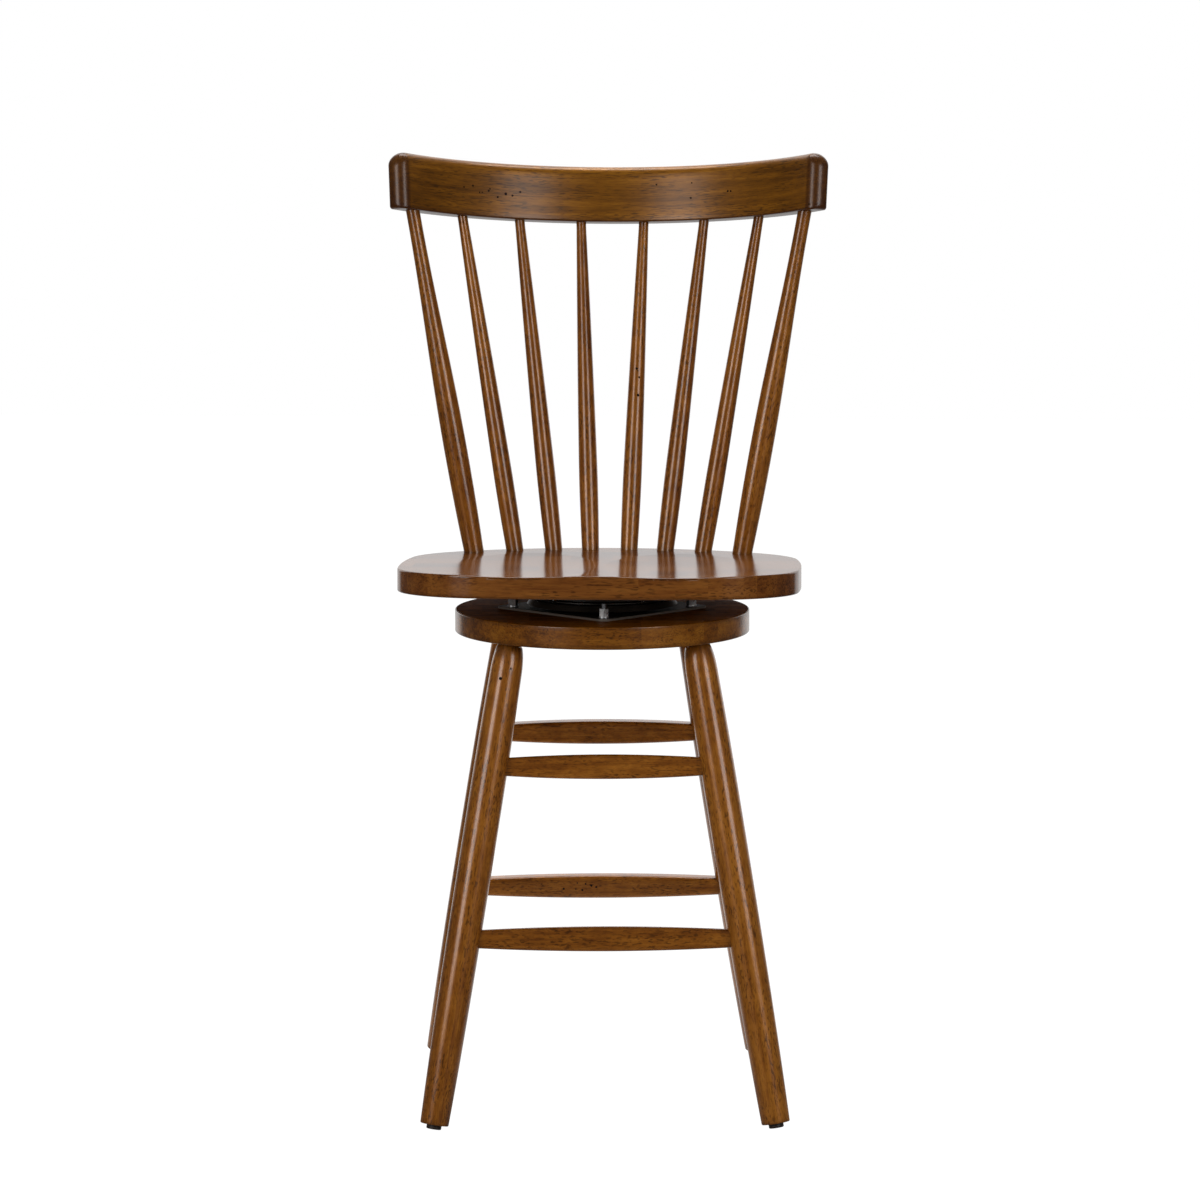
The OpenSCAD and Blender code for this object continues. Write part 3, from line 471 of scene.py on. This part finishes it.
BLACK_STEEL = steel_paint("black_pressed_steel")
BLACK_PLATE = steel_paint("black_plate_steel", cut_edge=True)
ZINC = plated("zinc_plate", (0.66, 0.67, 0.68), (0.92, 0.92, 0.91), 0.26, 0.36)
DULL = plated("dull_cage_steel", (0.035, 0.033, 0.03), (0.08, 0.075, 0.07), 0.4, 0.5)
THREAD = plated("dark_bolt_steel", (0.16, 0.165, 0.175), (0.27, 0.275, 0.28), 0.3, 0.42)
BALL = plated("bright_ball_steel", (0.72, 0.73, 0.74), (0.86, 0.86, 0.87), 0.05, 0.11)
GLIDE = moulded("glide_plastic_brown")


# Seat board

def arc(centre, r, a0, a1, n):
    """Points of an arc of n pieces."""
    a = np.radians(np.linspace(a0, a1, n + 1))
    return np.stack([centre[0] + r * np.cos(a), centre[1] + r * np.sin(a)], -1)


def between(c, reach_c, d, reach_d):
    """Centre of a smaller arc that touches two larger ones from inside.
    c and d are the larger arcs' centres, reach_c and reach_d the distances from them."""
    line = d - c
    gap = np.hypot(*line)
    along = (reach_c ** 2 - reach_d ** 2 + gap ** 2) / (2 * gap)
    off = math.sqrt(reach_c ** 2 - along ** 2)
    return c + (along * line + off * np.array([-line[1], line[0]])) / gap


def seat_outline(inset):
    """The seat's outline drawn in by a distance, counter-clockwise from the front's middle."""
    front = np.array([0, SEAT_FRONT_R - SEAT_D / 2])
    side = np.array([SEAT_W / 2 - SEAT_SIDE_R, -SEAT_WIDEST])
    back = np.array([0, SEAT_D / 2 - SEAT_BACK_R])
    corner = between(front, SEAT_FRONT_R - SEAT_CORNER_R, side, SEAT_SIDE_R - SEAT_CORNER_R)
    shoulder = between(side, SEAT_SIDE_R - SEAT_SHOULDER_R, back, SEAT_BACK_R - SEAT_SHOULDER_R)
    lines = (corner - front, corner - side, shoulder - side, shoulder - back)
    front_a, corner_a, side_a, shoulder_a = [math.degrees(math.atan2(v[1], v[0])) for v in lines]
    right = np.concatenate([arc(front, SEAT_FRONT_R - inset, -90, front_a, 24),
                            arc(corner, SEAT_CORNER_R - inset, front_a, corner_a, 40)[1:],
                            arc(side, SEAT_SIDE_R - inset, corner_a, side_a, 12)[1:],
                            arc(shoulder, SEAT_SHOULDER_R - inset, side_a, shoulder_a, 36)[1:],
                            arc(back, SEAT_BACK_R - inset, shoulder_a, 90, 30)[1:]])
    left = right[1:-1][::-1] * [-1, 1]
    return np.concatenate([right, left])


def hollow_z(x, y):
    """Depth of the two hollows at a place on the seat's top."""
    barrel_r = (HOLLOW_HALF_W ** 2 + HOLLOW_DEPTH ** 2) / (2 * HOLLOW_DEPTH)
    u = (y - HOLLOW_Y) / HOLLOW_HALF_L
    r = barrel_r - HOLLOW_DEPTH * u * u
    low = [barrel_r - HOLLOW_DEPTH - np.sqrt(r * r - (x - side * HOLLOW_X) ** 2) for side in (-1, 1)]
    z = np.minimum(low[0], low[1]) / HOLLOW_SOFT
    return HOLLOW_SOFT * (math.log(2) * np.exp(-np.abs(z)) - np.logaddexp(0, -z))


def seat_mesh():
    e, rings, edges = SEAT_EDGE, [], []

    def ring(inset, z, dark, scale=1.0, top=False):
        p = seat_outline(inset) * scale
        h = np.full(len(p), float(z))
        if top:
            h = h + np.minimum(hollow_z(p[:, 0], p[:, 1]), 0)
        rings.append(np.concatenate([p, h[:, None]], 1))
        edges.append(np.full(len(p), dark))

    # The third value of ring darkens the rounded edges, most the lower edge, where the darkening is painted
    # shade.
    for k in range(1, 13):
        ring(e + 2, -SEAT_T, 0, scale=k / 13)
    ring(e + 2, -SEAT_T, 0.1)
    for k in range(7):
        a = math.radians(90 * k / 6)
        ring(e * (1 - math.sin(a)), -SEAT_T + e * (1 - math.cos(a)), 0.55)
    for z in (-SEAT_T + 3, -SEAT_T + 5, -SEAT_T / 2, -5, -3):
        ring(0, z, 0.25 if z == -SEAT_T + 3 else 0)
    for k in range(7):
        a = math.radians(90 * k / 6)
        ring(e * (1 - math.cos(a)), -e * (1 - math.sin(a)), 0.1, top=True)
    ring(e + 0.8, 0, 0.1, top=True)
    for k in range(1, 48):
        ring(e + 2, 0, 0.1 if k == 1 else 0, scale=(48 - k) / 47.2, top=True)
    matte = [True] * 13 + [False] * (len(rings) - 14)
    return strip_mesh("seat_board", rings, rings, edges, matte, board=True)


# Spindles and back posts

def seat_point(i):
    """Where a spindle stands on the seat. i counts the spindles and posts from the left."""
    pair, side = (3 - i, -1) if i < 4 else (i - 4, 1)
    x = SEAT_X[pair]
    y = SPINDLE_BACK_Y - SPINDLE_CURVE_R + math.sqrt(SPINDLE_CURVE_R ** 2 - x * x)
    return Vector((side * x, y, SEAT_H - y * math.tan(math.radians(SEAT_TILT))))


def crest_point(i):
    """Where it meets the rail."""
    pair, side = (3 - i, -1) if i < 4 else (i - 4, 1)
    a = (pair + 0.5) * CREST_PITCH / CREST_BEND_R
    drop = CREST_BEND_R * (1 - math.cos(a))
    lean = math.radians(CREST_RECLINE)
    return Vector((side * CREST_BEND_R * math.sin(a), CREST_Y - drop * math.cos(lean),
                   CREST_Z + drop * math.sin(lean)))


def spindle_mesh(i, name, length):
    post = i in (0, 7)
    foot, belly, tip, belly_s = POST_SHAPE if post else SPINDLE_SHAPE

    def radius(s):
        if s < FOOT_ENTRY:
            return foot
        if s < belly_s:
            return belly - (belly - foot) * ((belly_s - s) / (belly_s - FOOT_ENTRY)) ** 2
        u = min(1, (s - belly_s) / (length - CREST_ENTRY - belly_s))
        return tip + (belly - tip) * ((1 + math.cos(math.pi * u)) / 2 if post else 1 - u ** SPINDLE_TAPER)

    heights = np.concatenate([[-10, -3], np.linspace(0, length, 110), [length + 10, length + 24]])
    profile = [(radius(s), s) for s in heights]

    def dark(s):
        return 0.5 * max(0, 1 - abs(s) / 5) + 0.55 * max(0, 1 - abs(s - length) / 9)

    return turned_mesh(name, profile, 40, dark, SPINDLE_PITS if i == 4 else ())


SPINDLE_NODES = ["back_post_left", *[f"spindle_{k}" for k in range(1, 7)], "back_post_right"]
for number, node in enumerate(SPINDLE_NODES):
    foot, head = seat_point(number), crest_point(number)
    d = head - foot
    matrix = ON_AXIS @ place(*foot) @ Matrix.Rotation(math.atan2(d.y, d.x), 4, "Z") @ \
        Matrix.Rotation(math.acos(d.z / d.length), 4, "Y")
    add_piece(node + "_turned", spindle_mesh(number, node, d.length), matrix, [TURNED_WOOD, PIT], "seat",
              node)

add_piece("seat_board_shaped", seat_mesh(), ON_SEAT, [SEAT_WOOD, SEAT_UNDER], "seat",
          "seat_board")


# Crest rail

def draw_in(r, d):
    """How far a corner of radius r draws a face in, at a distance d from the end."""
    return 0 if d >= r else r - math.sqrt(r * r - (r - d) ** 2)


def rail_point(along, p, z):
    """A point of the bent rail. p is its distance in front of the middle plane or behind it."""
    a, r = along / CREST_BEND_R, CREST_BEND_R + p
    return r * math.sin(a), r * math.cos(a) - CREST_BEND_R, z


def crest_mesh():
    half = CREST_LENGTH / 2
    end = CORNER_TOP_R
    near_end = [end * (1 - math.cos(math.radians(90 * k / 14))) for k in range(15)]
    middle = np.linspace(end - half, half - end, 170)
    stations = [s - half for s in near_end] + list(middle[1:-1]) + [half - s for s in reversed(near_end)]
    rings, grain, edges = [], [], []
    for s in stations:
        d = half - abs(s)
        f, b = -CREST_T / 2 + draw_in(END_FRONT_R, d), CREST_T / 2 - SKIN - draw_in(END_BACK_R, d)
        low, top = draw_in(CORNER_LOW_R, d), CREST_H - SKIN - draw_in(CORNER_TOP_R, d)
        rt, rl = min(ROUND_TOP, (b - f) / 2.2), min(ROUND_LOW, (b - f) / 2.2)
        rows = 9
        front = [(f, top - rt - (top - rt - low - rl) * k / rows) for k in range(1, rows)]
        back = [(b, low + rl + (top - rt - low - rl) * k / rows) for k in range(1, rows)]
        section = front + [tuple(p) for p in arc((f + rl, low + rl), rl, 180, 270, 7)] + \
            [tuple(p) for p in arc((b - rl, low + rl), rl, 270, 360, 7)] + back + \
            [tuple(p) for p in arc((b - rt, top - rt), rt, 0, 90, 9)] + \
            [tuple(p) for p in arc((f + rt, top - rt), rt, 90, 180, 9)]
        ring, along = [], []
        for p, z in section:
            length = s * (1 - CREST_SLANT / half * (1 - z / CREST_H))
            ring.append(rail_point(length, p, z))
            along.append((length, p, z))
        rings.append(ring)
        grain.append(along)
        # The rail's ends are darker, and along the lower edge the darkening is painted shade.
        end_dark = 0.75 * min(1, 4 * max(0, 1 - d / (END_FRONT_R + 1.5)))
        edges.append([min(1, end_dark + 1.25 * max(0, 1 - (z - low) / 4)) for _, z in section])
    rings, grain, edges = [[row[::-1] for row in rows] for rows in (rings, grain, edges)]
    pits = []
    for along, z, size in CREST_PITS:
        a = along / CREST_BEND_R
        pits.append((rail_point(along, -CREST_T / 2, z), (-math.sin(a), -math.cos(a), 0), size))
    return strip_mesh("crest_rail", rings, grain, edges, board=True, pits=pits)


ON_CREST = ON_AXIS @ place(0, CREST_Y, CREST_Z) @ turn(-CREST_RECLINE, "X")
add_piece("crest_rail_bent", crest_mesh(), ON_CREST, [CREST_WOOD, PIT], "seat", "crest_rail")


# Base disc

def disc_mesh():
    e, r, t, sides_n = DISC_ROUND, DISC_D / 2, DISC_T, 256
    rim = [(r - e + e * math.sin(math.radians(a)), e - e * math.cos(math.radians(a)))
           for a in range(0, 91, 10)]
    upper = [(x, t - z) for x, z in reversed(rim)]
    sides = [(r, e + (t - 2 * e) * k / 5) for k in range(1, 5)]
    under = [(x, 0) for x in (4, 25, 50, 75, 100, 125, 145, 160, r - e - 2)]
    over = [(x, t) for x, _ in reversed(under)]
    profile = under + rim + sides + upper + over
    dark = [0.0] * len(under) + [0.5] * len(rim) + [0.0] * len(sides) + [0.4] * len(upper) + [0.0] * len(over)
    a = np.linspace(0, 2 * math.pi, sides_n, endpoint=False)
    rings = [np.stack([x * np.cos(a), x * np.sin(a), np.full(sides_n, float(z))], -1) for x, z in profile]
    edges = [np.full(sides_n, v) for v in dark]
    matte = [True] * len(under) + [False] * (len(rings) - len(under) - len(over) - 1) + [True] * len(over)
    return strip_mesh("base_disc", rings, rings, edges, matte, board=True)


add_piece("base_disc_turned", disc_mesh(), ON_BASE @ place(0, 0, DISC_LOW), [DISC_WOOD, DISC_UNDER], "base",
          "base_disc")


# Legs

LEG_SHOULDER_S = LEG_TOP_S - LEG_SHOULDER_H


def leg_radius(s):
    """The leg's radius at a distance along its axis from the floor."""
    if s < LEG_BELLY_S:
        u = (LEG_BELLY_S - s) / (LEG_BELLY_S - LEG_FOOT_S)
        return LEG_BELLY_R - (LEG_BELLY_R - LEG_FOOT_R) * u ** 3
    if s < LEG_SHOULDER_S:
        u = (s - LEG_BELLY_S) / (LEG_SHOULDER_S - LEG_BELLY_S)
        return LEG_BELLY_R - (LEG_BELLY_R - LEG_SHOULDER_R) * u ** 2
    u = min(1, (s - LEG_SHOULDER_S) / LEG_SHOULDER_H)
    return LEG_TENON_R + (LEG_SHOULDER_R - LEG_TENON_R) * math.sqrt(max(0, 1 - u * u))


def leg_mesh(name):
    end_s = LEG_TOP_S - LEG_SHOULDER_R * math.tan(LEG_LEAN)
    e = LEG_EDGE
    profile = [(1, LEG_FOOT_S), (LEG_FOOT_R - e - 1, LEG_FOOT_S)]
    for a in range(0, 91, 15):
        angle = math.radians(a)
        profile.append((LEG_FOOT_R - e + e * math.sin(angle), LEG_FOOT_S + e - e * math.cos(angle)))
    profile += [(leg_radius(s), s) for s in np.linspace(LEG_FOOT_S + 3, LEG_SHOULDER_S, 120)]
    for a in range(6, 91, 6):
        s = LEG_SHOULDER_S + (end_s - LEG_SHOULDER_S) * math.sin(math.radians(a))
        profile.append((leg_radius(s), s))
    profile += [(LEG_TENON_R, end_s + 0.2), (LEG_TENON_R, LEG_TOP_S + 10)]

    # Darker at the foot; at the top the darkening is painted shade under the disc.
    def dark(s):
        return 0.6 * max(0, 1 - (s - LEG_FOOT_S) / 4) + 0.8 * max(0, 1 - max(0, end_s - s) / 20)

    return turned_mesh(name, profile, 64, dark, LEG_PITS if name == "leg_front_left" else ())


LEG_NODES = {"leg_front_left": 225, "leg_front_right": 315, "leg_rear_right": 45, "leg_rear_left": 135}
for node, angle in LEG_NODES.items():
    matrix = ON_BASE @ turn(angle, "Z") @ place(FOOT_SPREAD * math.sqrt(2), 0, 0) @ \
        Matrix.Rotation(-LEG_LEAN, 4, "Y")
    add_piece(node + "_turned", leg_mesh(node), matrix, [TURNED_WOOD, PIT], "base", node)


# Stretchers

def stretcher_mesh(name, half):
    """A stretcher along X, deepest in the middle. half is half its length."""
    c, t = STRETCHER_CORNER, STRETCHER_T / 2
    rings, edges = [], []
    for x in np.linspace(-half, half, 90):
        u = x / half
        h = STRETCHER_END_H / 2 + (STRETCHER_MID_H - STRETCHER_END_H) / 2 * (1 - u * u)
        centres = ((t - c, h - c), (c - t, h - c), (c - t, c - h), (t - c, c - h))
        arcs = [arc(centre, c, 90 * k, 90 * k + 90, 8) for k, centre in enumerate(centres)]
        section = []
        for k in range(4):
            last, following = arcs[k][-1], arcs[(k + 1) % 4][0]
            section += [*arcs[k], *[last + (following - last) * n / 4 for n in (1, 2, 3)]]
        rings.append([(x, y, z) for y, z in section])
        # Painted shade at the stretcher's ends, where they meet the legs.
        shade_near_legs = max(0, 1 - (half - abs(x) - 10) / 8) * 0.4
        edges.append([shade_near_legs] * len(section))
    pits = [((x, t, z), (0, 1, 0), size) for x, z, size in STRETCHER_PITS]
    return strip_mesh(name, rings, rings, edges, pits=pits if name == "stretcher_rear_lower" else ())


PLANE_LEAN = math.degrees(math.atan(LEG_SLOPE))
for side, word in enumerate(("front", "right", "rear", "left")):
    for level, height in (("upper", STRETCHER_UPPER_Z), ("lower", STRETCHER_LOWER_Z)):
        z = height + (SIDE_RISE if side % 2 else 0)
        reach = FOOT_SPREAD - LEG_SLOPE * z
        node = f"stretcher_{word}_{level}"
        matrix = ON_BASE @ turn(90 * side, "Z") @ place(0, -reach, z) @ turn(-PLANE_LEAN, "X")
        add_piece(node + "_shaped", stretcher_mesh(node, reach - STRETCHER_SHORT), matrix,
                  [TURNED_WOOD, PIT], "base", node)


# Looks of the CAD nodes that stay

for obj_name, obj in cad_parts.items():
    look = None
    if obj_name in ("swivel_upper_plate", "swivel_lower_dish", "swivel_upper_dish"):
        look = BLACK_STEEL
    elif obj_name == "swivel_lower_plate":
        look = BLACK_PLATE
    elif obj_name == "bearing_balls":
        look = BALL
    elif obj_name == "foot_glides":
        look = GLIDE
    elif obj_name in ("pivot_rivet", "pivot_washer", "bolt_washers", "bolt_nuts", "lock_nuts",
                      "seat_screws", "glide_nails"):
        look = ZINC
    elif obj_name == "ball_cage":
        look = DULL
    elif obj_name == "swivel_bolts":
        look = THREAD
    if look:
        obj.data.materials.clear()
        obj.data.materials.append(look)


# Studio

def area_light(name, location, target, width, height, radiance):
    """A softbox that points at a target and doesn't show to the camera."""
    data = bpy.data.lights.new(name, "AREA")
    data.shape, data.size, data.size_y = "RECTANGLE", width, height
    data.energy = radiance * math.pi * width * height
    obj = bpy.data.objects.new(name, data)
    bpy.context.scene.collection.objects.link(obj)
    obj.location = location
    obj.rotation_euler = (Vector(target) - Vector(location)).to_track_quat("-Z", "Y").to_euler()
    obj.visible_camera = False


def around(azimuth, distance, height):
    """A place round the chair. Azimuth 0 is in front of it and positive to the image's right."""
    a = math.radians(azimuth)
    return (distance * math.sin(a), AXIS_Y * MM - distance * math.cos(a), height)


area_light("softbox_left", around(azimuth=-36, distance=3.4, height=1.35), target=(0, AXIS_Y * MM, 1.35),
           width=1.3, height=1.4, radiance=6.05)
area_light("softbox_right", around(azimuth=39, distance=3.4, height=1.45), target=(0, AXIS_Y * MM, 1.45),
           width=1.3, height=1.3, radiance=5.85)
area_light("top_panel", (0, 0.62, 2.6), target=(0, 0.15, 0.8), width=1.4, height=0.7, radiance=7.5)

# The room is white for the camera. Reflections find it bright behind the chair, brighter still high up and
# at the sides, and dark on the camera's side, where only the softboxes show.
world = bpy.data.worlds.new("studio")
bpy.context.scene.world = world
world.use_nodes = True
nodes, links = world.node_tree.nodes, world.node_tree.links
nodes.clear()


def add_node(kind, **values):
    """A node in the tree at hand, of the world or of the floor."""
    node = nodes.new(kind)
    for key, value in values.items():
        setattr(node, key, value)
    return node


def add_span(value, low, high, to_low, to_high):
    """A soft step of a value between low and high."""
    node = add_node("ShaderNodeMapRange", interpolation_type="SMOOTHSTEP")
    links.new(value, node.inputs["Value"])
    for key, v in (("From Min", low), ("From Max", high), ("To Min", to_low), ("To Max", to_high)):
        node.inputs[key].default_value = v
    return node.outputs[0]


where = add_node("ShaderNodeTexCoord")
split = add_node("ShaderNodeSeparateXYZ")
links.new(where.outputs["Generated"], split.inputs[0])
behind = add_span(split.outputs["Y"], low=0.5, high=0.86, to_low=0.04, to_high=1.0)
upwards = add_span(split.outputs["Z"], low=0.27, high=0.42, to_low=1.0, to_high=2.0)
off = add_node("ShaderNodeMath", operation="ABSOLUTE")
links.new(split.outputs["X"], off.inputs[0])
sideways = add_span(off.outputs[0], low=0.38, high=0.58, to_low=1.0, to_high=1.7)
for more in (upwards, sideways):
    times = add_node("ShaderNodeMath", operation="MULTIPLY")
    links.new(behind, times.inputs[0])
    links.new(more, times.inputs[1])
    behind = times.outputs[0]
path = add_node("ShaderNodeLightPath")
level = add_node("ShaderNodeMix", data_type="FLOAT")
links.new(path.outputs["Is Camera Ray"], level.inputs[0])
links.new(behind, level.inputs[2])
level.inputs[3].default_value = 1.0
back = add_node("ShaderNodeBackground")
back.inputs["Color"].default_value = (1, 1, 1, 1)
links.new(level.outputs[0], back.inputs["Strength"])
world_out = add_node("ShaderNodeOutputWorld")
links.new(back.outputs[0], world_out.inputs["Surface"])

# The floor shows white to the camera, with a faint shadow. Towards the camera it gets darker in reflections.
FLOOR_HALF, FLOOR_Z = 9, -0.0006
FLOOR_ALBEDO, FLOOR_GLOW = 0.8, 1.13  # the glow makes up for the matte share
GLOW_SHARE_LIGHT, GLOW_SHARE_SEEN = 0.25, 0.9  # for light on its way, and for the camera and reflections
mesh = bpy.data.meshes.new("floor")
corners = [(x * FLOOR_HALF, y * FLOOR_HALF, FLOOR_Z) for x, y in ((-1, -1), (1, -1), (1, 1), (-1, 1))]
mesh.from_pydata(corners, [], [(0, 1, 2, 3)])
floor = bpy.data.objects.new("floor", mesh)
bpy.context.scene.collection.objects.link(floor)
floor_look = bpy.data.materials.new("white_floor")
floor_look.use_nodes = True
nodes, links = floor_look.node_tree.nodes, floor_look.node_tree.links
nodes.clear()
diffuse = add_node("ShaderNodeBsdfDiffuse")
diffuse.inputs["Color"].default_value = (FLOOR_ALBEDO, FLOOR_ALBEDO, FLOOR_ALBEDO, 1)
glow = add_node("ShaderNodeEmission")
glow.inputs["Color"].default_value = (1, 1, 1, 1)
path = add_node("ShaderNodeLightPath")
split = add_node("ShaderNodeSeparateXYZ")
links.new(add_node("ShaderNodeTexCoord").outputs["Object"], split.inputs[0])
deep = add_span(split.outputs["Y"], low=-0.5, high=0.6, to_low=0.05, to_high=1.0)
aside = add_node("ShaderNodeMath", operation="ABSOLUTE")
links.new(split.outputs["X"], aside.inputs[0])
beyond = add_node("ShaderNodeMath", operation="MULTIPLY_ADD")
links.new(split.outputs["Y"], beyond.inputs[0])
beyond.inputs[1].default_value = -0.7
links.new(aside.outputs[0], beyond.inputs[2])
wide = add_span(beyond.outputs[0], low=0.0, high=0.6, to_low=1.0, to_high=0.05)
patch = add_node("ShaderNodeMath", operation="MULTIPLY")
links.new(deep, patch.inputs[0])
links.new(wide, patch.inputs[1])
level = add_node("ShaderNodeMix", data_type="FLOAT")
links.new(path.outputs["Is Camera Ray"], level.inputs[0])
links.new(patch.outputs[0], level.inputs[2])
level.inputs[3].default_value = FLOOR_GLOW
links.new(level.outputs[0], glow.inputs["Strength"])
share = add_node("ShaderNodeMapRange")
seen = add_node("ShaderNodeMath", operation="MAXIMUM")
links.new(path.outputs["Is Camera Ray"], seen.inputs[0])
links.new(path.outputs["Is Glossy Ray"], seen.inputs[1])
links.new(seen.outputs[0], share.inputs["Value"])
share.inputs["To Min"].default_value = GLOW_SHARE_LIGHT
share.inputs["To Max"].default_value = GLOW_SHARE_SEEN
blend = add_node("ShaderNodeMixShader")
links.new(share.outputs[0], blend.inputs[0])
links.new(diffuse.outputs[0], blend.inputs[1])
links.new(glow.outputs[0], blend.inputs[2])
floor_out = add_node("ShaderNodeOutputMaterial")
links.new(blend.outputs[0], floor_out.inputs["Surface"])
floor.data.materials.append(floor_look)

# Camera, fitted to the photograph
CAMERA_LENS, CAMERA_PLACE = 137.72, (0.26035, AXIS_Y * MM - 5.3233, 1.27027)
CAMERA_PITCH, CAMERA_TURN = 82.68, 2.828
camera_data = bpy.data.cameras.new("camera")
camera_data.sensor_width = 36
camera_data.lens = CAMERA_LENS
camera_data.clip_end = 100
camera = bpy.data.objects.new("camera", camera_data)
bpy.context.scene.collection.objects.link(camera)
camera.location = CAMERA_PLACE
camera.rotation_euler = (math.radians(CAMERA_PITCH), 0, math.radians(CAMERA_TURN))
bpy.context.scene.camera = camera
bpy.context.scene.view_settings.view_transform = "Standard"
